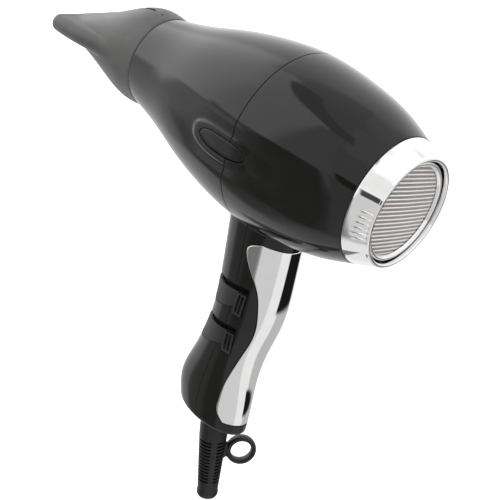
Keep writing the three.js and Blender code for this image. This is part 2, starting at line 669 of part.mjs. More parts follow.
function buildHeater() {
  const tubeIn = HEATER_RADIUS - 0.7;
  add(
    "heat_tube",
    turned([[-103, tubeIn], [-103, HEATER_RADIUS], [-26, HEATER_RADIUS], [-26, tubeIn]]),
    mica,
  );
  // Two crossed mica boards, slotted into each other.
  const middle = -62;
  const upright = box([-92, -0.5, -12.8], [-32, 0.5, 12.8]);
  const level = box([-92, -12.8, -0.5], [-32, 12.8, 0.5]);
  const slotFront = box([-100, -0.8, -0.8], [middle, 0.8, 0.8]);
  const slotRear = box([middle - GAP, -0.8, -0.8], [-30, 0.8, 0.8]);
  add("mica_board_upright", upright.subtract(slotFront), mica);
  add("mica_board_level", level.subtract(slotRear), mica);
  // Three resistance coils wound over the boards' edges.
  class Helix extends THREE.Curve {
    constructor(start, length, turns) {
      super();
      Object.assign(this, { start, length, turns });
    }
    getPoint(t, target = new THREE.Vector3()) {
      const turn = 2 * Math.PI * this.turns * t;
      return target.set(
        this.start + this.length * t,
        COIL_RADIUS * Math.cos(turn),
        COIL_RADIUS * Math.sin(turn),
      );
    }
  }
  const coilNames = ["front", "middle", "rear"];
  coilNames.forEach((name, i) => {
    const path = new Helix(-90 + 20 * i, 15, 3);
    const wire = new THREE.Shape().absarc(0, 0, 1.2, 0, 2 * Math.PI);
    const options = { steps: 36, curveSegments: 3, extrudePath: path };
    add(`heating_coil_${name}`, toSolid(new THREE.ExtrudeGeometry(wire, options)), darkSteel);
  });
  // Safety parts on the boards.
  add("thermostat", box([-31.4, -5, 2], [-28.6, 5, 10]), brass);
  add("thermal_fuse", rod("x", -48, -38, 1.6, [3.4, -3.4], 12), steel);
  // Outlet grille: a rim, two rings and eight spokes in the end of the spigot.
  const ring = (outer, inner) =>
    turned([[-106.4, inner], [-106.4, outer], [-104.4, outer], [-104.4, inner]], FINE);
  const spokes = range(0, 2, 2).map((i) =>
    box([-106.2, -19.4, -0.6], [-104.6, 19.4, 0.6]).rotate([i * 60, 0, 0]),
  );
  add("outlet_grille", joined([ring(20.3, 18.8), ring(13.4, 12.2), ring(7, 5.8), ...spokes]), steel);
}

// ---------------------------------------------------------------- electrics

function buildElectrics() {
  add("ioniser_box", box([-60, -9, 22.6], [-38, 9, 29.6]), plasticGrey);
  add("emitter_needle", rod("x", -84, -60.3, 0.5, [0, 23.4], 8), steel);
  add("terminal_block", box([-9, -7, -134], [9, 7, -125]), plasticGrey);
  add("noise_capacitor", rod("z", -62, -50, 5, [-6, 0], FINE), plasticRed);
  const wiring = new THREE.CatmullRomCurve3(
    [[12, -122], [13, -108], [15, -92], [14, -78], [8, -56], [6, -46], [2, -38], [-2, -36.6]].map(
      ([x, z]) => new THREE.Vector3(x, 5.2, z),
    ),
  );
  const section = new THREE.Shape().absarc(0, 0, 1.6, 0, 2 * Math.PI);
  const options = { steps: 16, curveSegments: 3, extrudePath: wiring };
  add("wiring_loom", toSolid(new THREE.ExtrudeGeometry(section, options)), carbon);
}

// ---------------------------------------------------------------- concentrator nozzle

// The nozzle's cone: x, half width and half height of its oval sections.
const NOZZLE_HALF_WIDTH = [
  [-94, 25], [-106, 25.4], [-118, 25], [-130, 24.6], [-142, 24], [-152, 22], [-158, 20],
];
const NOZZLE_HALF_HEIGHT = [
  [-94, 25], [-106, 26.2], [-118, 22.6], [-130, 16.4], [-142, 11], [-152, 6.8], [-158, 5.1],
];

function nozzleCone(shrink, from, to) {
  return loft(
    range(from, to, 8).map((x) =>
      range(0, 2 * Math.PI * (1 - 1 / ROUND), ROUND - 1).map(
        (turn) =>
          new THREE.Vector3(
            x,
            (smooth(NOZZLE_HALF_WIDTH, x) - shrink) * Math.cos(turn),
            (smooth(NOZZLE_HALF_HEIGHT, x) - shrink) * Math.sin(turn),
          ),
      ),
    ),
  );
}

// The flat bill: a slot-shaped bar whose ends are round.
function nozzleBill(halfWidth, halfHeight, from, to) {
  const reach = halfWidth - halfHeight;
  const outline = new THREE.Shape();
  outline.absarc(0, reach, halfHeight, 0, Math.PI, false);
  outline.absarc(0, -reach, halfHeight, Math.PI, 2 * Math.PI, false);
  const options = { depth: to - from, bevelEnabled: false, curveSegments: 10 };
  const geometry = new THREE.ExtrudeGeometry(outline, options);
  return toSolid(geometry.rotateY(Math.PI / 2).translate(from, 0, 0));
}

function buildNozzle() {
  const end = JOINT_X - GAP;
  const outside = nozzleCone(0, end, NOZZLE_TIP).add(
    nozzleBill(SLOT_HALF_WIDTH, SLOT_HALF_HEIGHT, NOZZLE_TIP, -118),
  );
  const inside = joined([
    nozzleCone(NOZZLE_WALL, -108, NOZZLE_TIP + 6),
    nozzleBill(SLOT_HALF_WIDTH - NOZZLE_WALL, SLOT_HALF_HEIGHT - NOZZLE_WALL, NOZZLE_TIP - 1, -120),
    rod("x", -109, -90, 24.0, [0, 0], ROUND),
  ]);
  add("nozzle", outside.subtract(inside), satinGrey);
  add(
    "nozzle_clip_ring",
    turned([[-106, 22.5], [-106, 23.5], [-95, 23.5], [-95, 22.5]]),
    matteBlack,
  );
}

buildBarrel();
buildHandle();
for (const [name, top] of Object.entries(SWITCH_TOPS)) buildSwitch(name, top);
buildRelief();
buildIntake();
buildMotor();
buildHeater();
buildElectrics();
buildNozzle();

export default hairDryer;
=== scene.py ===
import bmesh
import bpy
import json
import math
import numpy as np
from mathutils import Matrix, Vector


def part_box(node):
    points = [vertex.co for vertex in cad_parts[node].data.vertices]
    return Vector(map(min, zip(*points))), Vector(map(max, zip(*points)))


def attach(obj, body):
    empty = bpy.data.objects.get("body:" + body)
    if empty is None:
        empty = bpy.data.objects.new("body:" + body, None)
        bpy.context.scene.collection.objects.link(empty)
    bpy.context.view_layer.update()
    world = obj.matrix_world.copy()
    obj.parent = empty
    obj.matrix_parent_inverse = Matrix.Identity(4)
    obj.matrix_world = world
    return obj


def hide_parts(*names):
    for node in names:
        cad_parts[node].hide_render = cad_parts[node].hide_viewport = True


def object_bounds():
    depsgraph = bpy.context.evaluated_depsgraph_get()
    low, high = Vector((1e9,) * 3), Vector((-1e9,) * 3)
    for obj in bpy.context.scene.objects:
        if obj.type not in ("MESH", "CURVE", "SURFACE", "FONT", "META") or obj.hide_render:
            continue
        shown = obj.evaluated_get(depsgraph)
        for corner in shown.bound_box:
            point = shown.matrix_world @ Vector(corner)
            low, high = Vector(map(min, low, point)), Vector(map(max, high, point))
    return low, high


# The visual model of a full-size hand-held hair dryer. Every shape is drawn in millimetres in
# the barrel's own frame, where x = 0 is the seam between the two barrel shells and the X axis
# is the barrel's axis, and is placed by one matrix that is worked out from the frame.

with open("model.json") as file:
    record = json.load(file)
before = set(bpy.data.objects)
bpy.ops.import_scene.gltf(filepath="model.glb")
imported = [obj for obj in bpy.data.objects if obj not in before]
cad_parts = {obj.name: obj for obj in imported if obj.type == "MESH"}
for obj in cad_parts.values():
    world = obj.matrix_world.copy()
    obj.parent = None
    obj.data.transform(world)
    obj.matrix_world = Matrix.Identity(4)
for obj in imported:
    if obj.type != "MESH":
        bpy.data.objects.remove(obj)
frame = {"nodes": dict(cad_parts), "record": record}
cad_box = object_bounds()

MM = 0.001
GAP = 0.3
SEAM_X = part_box("rear_barrel")[0].x - GAP / 2 * MM
RING_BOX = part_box("intake_ring")
AXIS_Z = (RING_BOX[0].z + RING_BOX[1].z) / 2
BARREL_FRAME = Matrix.Translation((SEAM_X, 0, AXIS_Z)) @ Matrix.Scale(MM, 4)
RING_REAR = (RING_BOX[1].x - SEAM_X) / MM
NOZZLE_TIP = (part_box("nozzle")[0].x - SEAM_X) / MM
SLEEVE_END_Z = (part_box("strain_relief")[0].z - AXIS_Z) / MM

# ------------------------------------------------------------------ dimensions, in millimetres

JOINT_X = -94.0
RING_X = 62.9
BARREL_RADIUS = [
    (-94, 25.0), (-72, 30.2), (-50, 36.9), (-25, 42.7),
    (0, 45.3), (25, 43.3), (46, 38.9), (63, 32.2),
]
WALL = 2.0
SEAM_ROUND = 0.25
SPIGOT_END = -107.0
SPIGOT_OUT = 22.2
SPIGOT_IN = 20.6

PANEL_MIDDLE_Z = 0.5
PANEL_HALF_HEIGHT = 13.5
PANEL_FADE = (15.0, 62.0)
PLUG_MIDDLE = -5.7
PLUG_HALF_LENGTH = 15.0
PLUG_HALF_HEIGHT = 4.0

HANDLE_CENTRE = [
    (-36, 0.5), (-70, 5), (-95, 6.7), (-115, 4.3), (-135, 1.6), (-150, 1.1), (-166, 4.0),
]
HANDLE_HALF_DEPTH = [
    (-36, 22.4), (-70, 21.2), (-95, 20), (-115, 19.4), (-135, 21.8), (-150, 24.2), (-166, 22.4),
]
HANDLE_HALF_WIDTH = [
    (-36, 15.6), (-70, 16.2), (-95, 16.6), (-115, 15.8), (-135, 14.6), (-150, 14.2), (-166, 13.2),
]
HANDLE_TOP = -38.0
HANDLE_BOTTOM = -165.0
HANDLE_WALL = 2.6
BOTTOM_ROUND = 3.0
NECK_FILLET = 1.3

INLAY_EDGE = [
    (-49, 13), (-51.5, 7.5), (-57, 6), (-64, 10.5), (-72, 16.5), (-82, 20.2), (-92, 21.8),
    (-102, 21.2), (-113, 18.6), (-124, 16), (-135, 13.9), (-146, 13.4), (-153, 14.8), (-157.5, 19),
]
INLAY_THICK = 1.1

SWITCH_TOPS = {"upper": -81.0, "lower": -104.7}
SWITCH_TRAVEL = 3.0
PAD_HEIGHT = 14.0
PAD_FRONT = 18.0
PAD_TOP_SLOPE = 0.155
PAD_BOTTOM_SLOPE = 0.4
WING_START = 2.8
WING_END = 7.6
WING_HEIGHT = 12.5
WING_LIFT = 3.5
RECESS_DEPTH = 2.1

SLEEVE_TOP = (5.8, 0.0, HANDLE_BOTTOM)
SLEEVE_TILT = math.radians(12.5)
SLEEVE_RADIUS = 7.9
SLEEVE_LENGTH = 51.5
CORD_BORE = 3.7
SLOT_ROWS = 13
SLOT_PITCH = 2.13
FIRST_SLOT = -14.6
LOOP_DOWN = 22.0
LOOP_OUT = 16.6
LOOP_TURN = math.radians(52.6)
LOOP_RADIUS = 7.3

NOZZLE_HALF_WIDTH = [
    (-94, 25), (-106, 25.4), (-118, 25), (-130, 24.6), (-142, 24), (-152, 22), (-158, 20),
]
NOZZLE_HALF_HEIGHT = [
    (-94, 25), (-106, 26.2), (-118, 22.6), (-130, 16.4), (-142, 11), (-152, 6.8), (-158, 4.4),
]
BILL_HALF_WIDTH = [
    (-158, 27.2), (-157, 28.8), (-155, 29.7), (-150, 30), (-140, 29.8), (-130, 28.6),
    (-120, 26.2), (-110, 23.5), (-94, 18.0),
]
BILL_HALF_HEIGHT = [(-158, 3.6), (-157, 4.4), (-155, 4.95), (-150, 5.0), (-94, 5.0)]
BILL_BLEND = 24

# ------------------------------------------------------------------ numbers and curves


def spline(table):
    """A natural cubic spline through (position, value) rows, as a function of position."""
    rows = sorted(table)
    x = np.array([row[0] for row in rows], float)
    y = np.array([row[1] for row in rows], float)
    n = len(x)
    h = np.diff(x)
    a = np.eye(n)
    b = np.zeros(n)
    for i in range(1, n - 1):
        a[i, i - 1:i + 2] = h[i - 1], 2 * (h[i - 1] + h[i]), h[i]
        b[i] = 6 * ((y[i + 1] - y[i]) / h[i] - (y[i] - y[i - 1]) / h[i - 1])
    m = np.linalg.solve(a, b)

    def value(t):
        t = np.clip(t, x[0], x[-1])
        k = np.clip(np.searchsorted(x, t) - 1, 0, n - 2)
        left = t - x[k]
        right = x[k + 1] - t
        cubic = (m[k] * right ** 3 + m[k + 1] * left ** 3) / (6 * h[k])
        line = (y[k] / h[k] - m[k] * h[k] / 6) * right + (y[k + 1] / h[k] - m[k + 1] * h[k] / 6) * left
        return cubic + line

    return value


def linear(table):
    rows = sorted(table)
    return lambda t: np.interp(t, [row[0] for row in rows], [row[1] for row in rows])


def smoothstep(low, high, t):
    u = np.clip((np.asarray(t, float) - low) / (high - low), 0, 1)
    return u * u * (3 - 2 * u)


def soft_min(a, b, width):
    gap = np.clip(0.5 + 0.5 * (b - a) / width, 0, 1)
    return b * (1 - gap) + a * gap - width * gap * (1 - gap)


barrel_radius = spline(BARREL_RADIUS)
handle_centre = spline(HANDLE_CENTRE)
handle_depth = spline(HANDLE_HALF_DEPTH)
handle_width = spline(HANDLE_HALF_WIDTH)
inlay_edge = spline(INLAY_EDGE)
nozzle_width = spline(NOZZLE_HALF_WIDTH)
nozzle_height = spline(NOZZLE_HALF_HEIGHT)
bill_width = spline(BILL_HALF_WIDTH)
bill_height = linear(BILL_HALF_HEIGHT)


def arc(centre, radius, start, end, steps):
    """Points of a circular arc in a plane, from one angle to another in degrees."""
    turns = np.radians(np.linspace(start, end, steps + 1))
    return [(centre[0] + radius * math.cos(t), centre[1] + radius * math.sin(t)) for t in turns]


# ------------------------------------------------------------------ mesh helpers


def new_object(name, points, faces, matrix=BARREL_FRAME):
    """A mesh object from points in millimetres; its faces are turned to point outwards."""
    mesh = bpy.data.meshes.new(name)
    mesh.from_pydata([tuple(p) for p in points], [], faces)
    mesh.transform(matrix)
    edit = bmesh.new()
    edit.from_mesh(mesh)
    bmesh.ops.recalc_face_normals(edit, faces=edit.faces)
    if edit.calc_volume(signed=True) < 0:
        bmesh.ops.reverse_faces(edit, faces=edit.faces)
    edit.to_mesh(mesh)
    edit.free()
    obj = bpy.data.objects.new(name, mesh)
    bpy.context.scene.collection.objects.link(obj)
    return obj


def ring_faces(rows, columns, close_rows=False):
    """Quads of a grid of points whose columns wrap round, and whose rows may too."""
    faces = []
    for row in range(rows if close_rows else rows - 1):
        low = row * columns
        high = (row + 1) % rows * columns
        for column in range(columns):
            beside = (column + 1) % columns
            faces.append((low + column, low + beside, high + beside, high + column))
    return faces


def tube(name, rings, closed=False, matrix=BARREL_FRAME):
    """A skin through rings of points: closed on itself, or capped at both ends."""
    columns = len(rings[0])
    points = [p for ring in rings for p in ring]
    faces = ring_faces(len(rings), columns, closed)
    if not closed:
        faces.append(tuple(range(columns)))
        faces.append(tuple(range(len(points) - columns, len(points))))
    return new_object(name, points, faces, matrix)


def lathe(name, profile, angles=160, matrix=BARREL_FRAME, shape=None):
    """A closed (x, radius) profile turned about X; shape(x, turns, radii) may reshape a row."""
    turns = np.linspace(0, 2 * np.pi, angles, endpoint=False) if isinstance(angles, int) else angles
    rings = []
    for index, (x, radius) in enumerate(profile):
        y = radius * np.sin(turns)
        z = radius * np.cos(turns)
        if shape:
            y, z = shape(index, x, y, z)
        rings.append(list(zip(np.full(len(turns), x), y, z)))
    return tube(name, rings, closed=True, matrix=matrix)


def lathe_upright(name, profile, sides, matrix, shape=None):
    """A closed (radius, z) profile turned about Z; shape(radius, z, turns) gives a row's radii."""
    turns = np.linspace(0, 2 * np.pi, sides, endpoint=False)
    rings = []
    for radius, z in profile:
        radii = shape(radius, z, turns) if shape else np.full(sides, radius)
        rings.append(list(zip(radii * np.cos(turns), radii * np.sin(turns), np.full(sides, z))))
    return tube(name, rings, closed=True, matrix=matrix)


def apply_modifiers(obj):
    graph = bpy.context.evaluated_depsgraph_get()
    mesh = bpy.data.meshes.new_from_object(obj.evaluated_get(graph))
    old = obj.data
    obj.modifiers.clear()
    obj.data = mesh
    bpy.data.meshes.remove(old)
    return obj


def boolean(obj, tools, operation="DIFFERENCE", careful=False):
    """Cuts obj with each tool, or joins them; the tools are used up."""
    for tool in tools:
        step = obj.modifiers.new(tool.name, "BOOLEAN")
        step.operation = operation
        step.solver = "EXACT"
        step.use_self = careful
        step.object = tool
        bpy.context.view_layer.update()
        apply_modifiers(obj)
        bpy.data.objects.remove(tool)
    return obj


def finish_piece(obj, material, body, nodes, sharp=32):
    """Shades the piece, gives it its material, and ties it to the frame."""
    edit = bmesh.new()
    edit.from_mesh(obj.data)
    bmesh.ops.remove_doubles(edit, verts=edit.verts, dist=0.002 * MM)
    bmesh.ops.dissolve_degenerate(edit, edges=edit.edges, dist=0.002 * MM)
    edit.to_mesh(obj.data)
    edit.free()
    obj.data.materials.clear()
    obj.data.materials.append(material)
    for polygon in obj.data.polygons:
        polygon.use_smooth = True
        polygon.material_index = 0
    obj.data.set_sharp_from_angle(angle=math.radians(sharp))
    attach(obj, body)
    if nodes:
        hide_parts(*nodes)
    return obj


def prism(name, outline, from_y, to_y):
    """A closed outline of (x, z) points between two places along Y."""
    rings = [[(x, y, z) for x, z in outline] for y in (from_y, to_y)]
    return tube(name, rings)


# ------------------------------------------------------------------ materials


def node_material(name):
    material = bpy.data.materials.new(name)
    material.use_nodes = True
    nodes = material.node_tree.nodes
    links = material.node_tree.links
    return material, nodes, links, nodes["Principled BSDF"]


def noise_node(nodes, links, scale, detail=3.0, rough=0.5, stretch=(1, 1, 1)):
    """Noise in object space; scale is in features per metre."""
    coords = nodes.new("ShaderNodeTexCoord")
    mapping = nodes.new("ShaderNodeMapping")
    mapping.inputs["Scale"].default_value = stretch
    noise = nodes.new("ShaderNodeTexNoise")
    noise.inputs["Scale"].default_value = scale
    noise.inputs["Detail"].default_value = detail
    noise.inputs["Roughness"].default_value = rough
    links.new(coords.outputs["Object"], mapping.inputs["Vector"])
    links.new(mapping.outputs["Vector"], noise.inputs["Vector"])
    return noise


def spread(nodes, links, source, low, high):
    """Maps a 0 to 1 value to a range."""
    remap = nodes.new("ShaderNodeMapRange")
    remap.inputs["From Min"].default_value = 0.25
    remap.inputs["From Max"].default_value = 0.75
    remap.inputs["To Min"].default_value = low
    remap.inputs["To Max"].default_value = high
    links.new(source, remap.inputs["Value"])
    return remap.outputs["Result"]


def surface(name, colours, roughness, metallic=0.0, grain=(900.0, 0.1), wave=None,
            coat=0.0, stretch=(1, 1, 1), specular=0.5):
    """A moulded, plated or machined surface: two close tones, uneven gloss and a fine grain.

    grain is (features per metre, bump strength); wave adds a slow ripple of the same form.
    """
    material, nodes, links, shader = node_material(name)
    shader.inputs["Metallic"].default_value = metallic
    shader.inputs["Specular IOR Level"].default_value = specular
    shader.inputs["Coat Weight"].default_value = coat
    shader.inputs["Coat Roughness"].default_value = 0.04
    tone = noise_node(nodes, links, 160.0, stretch=stretch)
    ramp = nodes.new("ShaderNodeValToRGB")
    ramp.color_ramp.elements[0].position = 0.3
    ramp.color_ramp.elements[1].position = 0.7
    ramp.color_ramp.elements[0].color = (*colours[0], 1)
    ramp.color_ramp.elements[1].color = (*colours[1], 1)
    links.new(tone.outputs["Fac"], ramp.inputs["Fac"])
    links.new(ramp.outputs["Color"], shader.inputs["Base Color"])
    gloss = noise_node(nodes, links, 60.0, stretch=stretch)
    links.new(spread(nodes, links, gloss.outputs["Fac"], *roughness), shader.inputs["Roughness"])
    fine = noise_node(nodes, links, grain[0], detail=2.0, stretch=stretch)
    bump = nodes.new("ShaderNodeBump")
    bump.inputs["Strength"].default_value = grain[1]
    bump.inputs["Distance"].default_value = 0.0001
    links.new(fine.outputs["Fac"], bump.inputs["Height"])
    if wave:
        slow = noise_node(nodes, links, wave[0], detail=1.0)
        ripple = nodes.new("ShaderNodeBump")
        ripple.inputs["Strength"].default_value = wave[1]
        ripple.inputs["Distance"].default_value = 0.0005
        links.new(slow.outputs["Fac"], ripple.inputs["Height"])
        links.new(ripple.outputs["Normal"], bump.inputs["Normal"])
    links.new(bump.outputs["Normal"], shader.inputs["Normal"])
    return material


def grey(value, warm=0.0):
    return (value * (1 + warm), value, value * (1 - warm))


def laminated(name):
    """Stacked steel sheets: fine bands across X."""
    material, nodes, links, shader = node_material(name)
    shader.inputs["Metallic"].default_value = 1.0
    shader.inputs["Roughness"].default_value = 0.42
    coords = nodes.new("ShaderNodeTexCoord")
    sheets = nodes.new("ShaderNodeTexWave")
    sheets.bands_direction = "X"
    sheets.inputs["Scale"].default_value = 320.0
    ramp = nodes.new("ShaderNodeValToRGB")
    ramp.color_ramp.elements[0].color = (*grey(0.06), 1)
    ramp.color_ramp.elements[1].color = (*grey(0.2), 1)
    bump = nodes.new("ShaderNodeBump")
    bump.inputs["Strength"].default_value = 0.4
    bump.inputs["Distance"].default_value = 0.0001
    links.new(coords.outputs["Object"], sheets.inputs["Vector"])
    links.new(sheets.outputs["Fac"], ramp.inputs["Fac"])
    links.new(ramp.outputs["Color"], shader.inputs["Base Color"])
    links.new(sheets.outputs["Fac"], bump.inputs["Height"])
    links.new(bump.outputs["Normal"], shader.inputs["Normal"])
    return material


def open_foam(name):
    """Dark foam with open cells."""
    material, nodes, links, shader = node_material(name)
    shader.inputs["Roughness"].default_value = 0.95
    shader.inputs["Specular IOR Level"].default_value = 0.05
    coords = nodes.new("ShaderNodeTexCoord")
    cells = nodes.new("ShaderNodeTexVoronoi")
    cells.inputs["Scale"].default_value = 900.0
    ramp = nodes.new("ShaderNodeValToRGB")
    ramp.color_ramp.elements[0].color = (*grey(0.001), 1)
    ramp.color_ramp.elements[1].color = (*grey(0.006), 1)
    bump = nodes.new("ShaderNodeBump")
    bump.inputs["Strength"].default_value = 0.9
    bump.inputs["Distance"].default_value = 0.0006
    links.new(coords.outputs["Object"], cells.inputs["Vector"])
    links.new(cells.outputs["Distance"], ramp.inputs["Fac"])
    links.new(ramp.outputs["Color"], shader.inputs["Base Color"])
    links.new(cells.outputs["Distance"], bump.inputs["Height"])
    links.new(bump.outputs["Normal"], shader.inputs["Normal"])
    return material


GLOSS_BLACK = surface("gloss_black", ((0.0056, 0.0062, 0.0052), (0.0066, 0.0073, 0.0062)), (0.05, 0.08),
                      grain=(500.0, 0.001), wave=(70.0, 0.006), specular=0.36)
SATIN_GREY = surface("satin_grey", (grey(0.05, 0.02), grey(0.062, 0.02)), (0.34, 0.44),
                     grain=(3500.0, 0.35))
MATTE_BLACK = surface("matte_black", (grey(0.006, 0.03), grey(0.009, 0.03)), (0.42, 0.56),
                      grain=(4200.0, 0.4))
SOFT_BLACK = surface("soft_black", (grey(0.0045), grey(0.0075)), (0.34, 0.5), grain=(3000.0, 0.3),
                     specular=0.4)
MIRROR_CHROME = surface("mirror_chrome", (grey(0.87, 0.004), grey(0.91, 0.004)), (0.025, 0.06),
                        metallic=1.0, grain=(1500.0, 0.006), wave=(45.0, 0.01))
BRIGHT_STEEL = surface("bright_steel", ((0.72, 0.68, 0.67), (0.82, 0.77, 0.76)), (0.3, 0.45),
                       metallic=1.0, grain=(5000.0, 0.25))
MESH_STEEL = surface("mesh_steel", ((0.88, 0.84, 0.83), (0.94, 0.9, 0.89)), (0.28, 0.4),
                     metallic=0.2, grain=(5000.0, 0.1))
# Matt black for the switch recesses with painted shade: its colour is darker and its specular weaker than the gloss
# black round it.
MATT_SHADED_RECESS = surface("matt_shaded_recess", (grey(0.0015), grey(0.0025)), (0.6, 0.75),
                       grain=(3000.0, 0.2), specular=0.1)
LAMINATION_STEEL = laminated("lamination_steel")
MICA = surface("mica", ((0.42, 0.31, 0.15), (0.55, 0.42, 0.22)), (0.4, 0.6),
               grain=(1400.0, 0.4), stretch=(0.3, 1, 1))
COPPER = surface("copper", ((0.62, 0.24, 0.1), (0.75, 0.33, 0.16)), (0.28, 0.45), metallic=1.0,
                 grain=(3000.0, 0.6), stretch=(1, 4, 4))
BRASS = surface("brass", ((0.6, 0.42, 0.14), (0.7, 0.52, 0.22)), (0.25, 0.4), metallic=1.0,
                grain=(3000.0, 0.2))
CARBON = surface("carbon", (grey(0.012), grey(0.022)), (0.6, 0.85), grain=(3000.0, 0.5))
FOAM = open_foam("foam")
GREY_PLASTIC = surface("grey_plastic", (grey(0.22, 0.02), grey(0.27, 0.02)), (0.4, 0.55),
                       grain=(3500.0, 0.3))
RED_PLASTIC = surface("red_plastic", ((0.22, 0.03, 0.018), (0.28, 0.045, 0.028)), (0.4, 0.55),
                      grain=(3500.0, 0.3))
BY_SLOT = {
    "gloss_black": GLOSS_BLACK, "satin_grey": SATIN_GREY, "matte_black": MATTE_BLACK,
    "soft_black": SOFT_BLACK, "mirror_chrome": MIRROR_CHROME, "bright_steel": BRIGHT_STEEL,
    "lamination_steel": LAMINATION_STEEL, "mica": MICA, "copper": COPPER, "brass": BRASS,
    "carbon": CARBON, "foam": FOAM, "grey_plastic": GREY_PLASTIC, "red_plastic": RED_PLASTIC,
}

# ------------------------------------------------------------------ barrel


def side_surface(x, z):
    """|y| of the barrel's side at (x, z): a flattened panel, with a raised pad round the plug."""
    radius = barrel_radius(x)
    from_middle = z - PANEL_MIDDLE_Z
    round_y = np.sqrt(np.maximum(radius ** 2 - z ** 2, 0))
    flat_y = np.sqrt(np.maximum(radius ** 2 - PANEL_HALF_HEIGHT ** 2, 0))
    flat_y = flat_y - 0.25 * (1 - np.clip(np.abs(from_middle) / PANEL_HALF_HEIGHT, 0, 1) ** 2)
    strength = 1 - smoothstep(*PANEL_FADE, np.abs(x))
    y = round_y - strength * (round_y - soft_min(round_y, flat_y, 0.5))
    reach = ((np.abs(x + 6.5) / 20.5) ** 2.6 + (np.abs(z + 0.3) / 7.3) ** 2.6) ** (1 / 2.6)
    raised = linear([(-28, 1.25), (-10, 1.0), (3, 0.55), (14, 0.1)])(x)
    return y + raised * (1 - smoothstep(0.86, 1.06, reach))


def barrel_shape(outer_rows):
    """Reshapes the rows of a barrel shell that lie on its outside."""

    def shape(index, x, y, z):
        if index not in outer_rows:
            return y, z
        on_side = (np.abs(z) < 20) & (np.abs(y) > 5)
        drop = barrel_radius(x) - outer_rows[index]
        flat = np.minimum(side_surface(x, z) - drop, 60)
        return np.where(on_side, np.sign(y) * flat, y), z

    return shape


def side_turns():
    """Angles round the barrel: fine at the two side panels, coarser elsewhere."""
    quarter = list(np.arange(0, 66, 2.0)) + list(np.arange(66, 114, 0.75)) + list(np.arange(114, 180, 2.0))
    return np.radians(np.array(quarter + [a + 180 for a in quarter]))


def barrel_shell(name, outside, inside):
    """A shell from its outside rows, whose radii follow the barrel, and its inside profile."""
    profile = [(x, r) for x, r in outside] + inside
    outer_rows = {i: r for i, (x, r) in enumerate(outside)}
    return lathe(name, profile, side_turns(), shape=barrel_shape(outer_rows))


def plug_outline(out, sides=72):
    """The plug's outline, a long rounded shape, grown by `out`."""
    turns = np.linspace(0, 2 * np.pi, sides, endpoint=False)
    along = np.sign(np.cos(turns)) * np.abs(np.cos(turns)) ** 0.8
    x = PLUG_MIDDLE + (PLUG_HALF_LENGTH + out) * along
    z = (PLUG_HALF_HEIGHT + out) * np.sin(turns)
    return list(zip(x, z))


def rounded_edge(at, outward):
    """Rows that round a shell's outside edge at x = at; outward is the way the edge faces."""
    rows = []
    for angle in (0, 22, 45, 68, 90):
        back = SEAM_ROUND * (1 - math.cos(math.radians(angle)))
        down = SEAM_ROUND * (1 - math.sin(math.radians(angle)))
        x = at - outward * back
        rows.append((x, float(barrel_radius(x)) - down))
    return rows


def handle_ring(z, out, turns):
    x = handle_centre(z) + (handle_depth(z) + out) * np.cos(turns)
    y = (handle_width(z) + out) * np.sin(turns)
    return x, y


def neck_cutter():
    turns = np.linspace(0, 2 * np.pi, 96, endpoint=False)
    rings = []
    for z in np.linspace(-54, -30, 5):
        x, y = handle_ring(z, GAP, turns)
        rings.append(list(zip(x, y, np.full(96, z))))
    return tube("neck_cut", rings)


def barrel_rows(start, end, step):
    count = max(2, int(round(abs(end - start) / step)))
    return [(x, float(barrel_radius(x))) for x in np.linspace(start, end, count + 1)]


def build_barrel():
    seam = GAP / 2
    tongue = float(barrel_radius(0)) - WALL - GAP
    front_edge = rounded_edge(-seam, 1)[::-1]
    outside = rounded_edge(JOINT_X, -1) + barrel_rows(-93, -50, 2)[:-1]
    outside += barrel_rows(-50, -0.8, 0.8) + front_edge
    inside = [
        (-seam, tongue), (4, tongue), (4, tongue - 1.4), (-4, tongue - 1.4),
        *[(x, float(barrel_radius(x)) - WALL) for x in np.linspace(-7, -88, 9)],
        (-92, SPIGOT_IN), (SPIGOT_END, SPIGOT_IN), (SPIGOT_END, SPIGOT_OUT - 0.4),
        (SPIGOT_END + 0.4, SPIGOT_OUT), (JOINT_X, SPIGOT_OUT),
    ]
    front = barrel_shell("front_barrel_shell", outside, inside)
    outside = rounded_edge(seam, -1) + barrel_rows(0.8, 50, 0.8) + barrel_rows(51, 61.8, 1)
    outside += rounded_edge(RING_X - GAP, 1)[::-1]
    inside = [
        (RING_X - GAP, 29.8), (60.4, 29.8),
        *[(x, float(barrel_radius(x)) - WALL) for x in np.linspace(59, seam, 9)],
    ]
    rear = barrel_shell("rear_barrel_shell", outside, inside)
    for shell, node in ((front, "front_barrel"), (rear, "rear_barrel")):
        holes = [prism("plug_cut", plug_outline(0.42), side * 30, side * 60) for side in (-1, 1)]
        boolean(shell, [neck_cutter(), *holes], careful=shell is rear)
        finish_piece(shell, GLOSS_BLACK, "casing", [node], sharp=38)
    for side, label in ((-1, "left"), (1, "right")):
        build_plug(side, label)


def build_plug(side, label):
    """A plug with a rounded edge whose face follows the raised pad round it."""
    rings = []
    for sink in (2.6, 0.5):
        rings.append([(x, side * (side_surface(x, z) - sink), z) for x, z in plug_outline(0)])
    for angle in (20, 45, 70, 90):
        inset = 0.5 * (1 - math.cos(math.radians(angle)))
        sink = 0.5 * (1 - math.sin(math.radians(angle)))
        outline = plug_outline(-inset)
        rings.append([(x, side * (side_surface(x, z) - sink), z) for x, z in outline])
    for shrink in (0.75, 0.5, 0.25, 0.02):
        outline = [(PLUG_MIDDLE + (x - PLUG_MIDDLE) * (0.4 + 0.6 * shrink), z * shrink)
                   for x, z in plug_outline(-0.5)]
        rings.append([(x, side * side_surface(x, z), z) for x, z in outline])
    plug = tube(f"side_plug_{label}_face", rings)
    finish_piece(plug, GLOSS_BLACK, "casing", [f"side_plug_{label}"], sharp=50)


# ------------------------------------------------------------------ handle


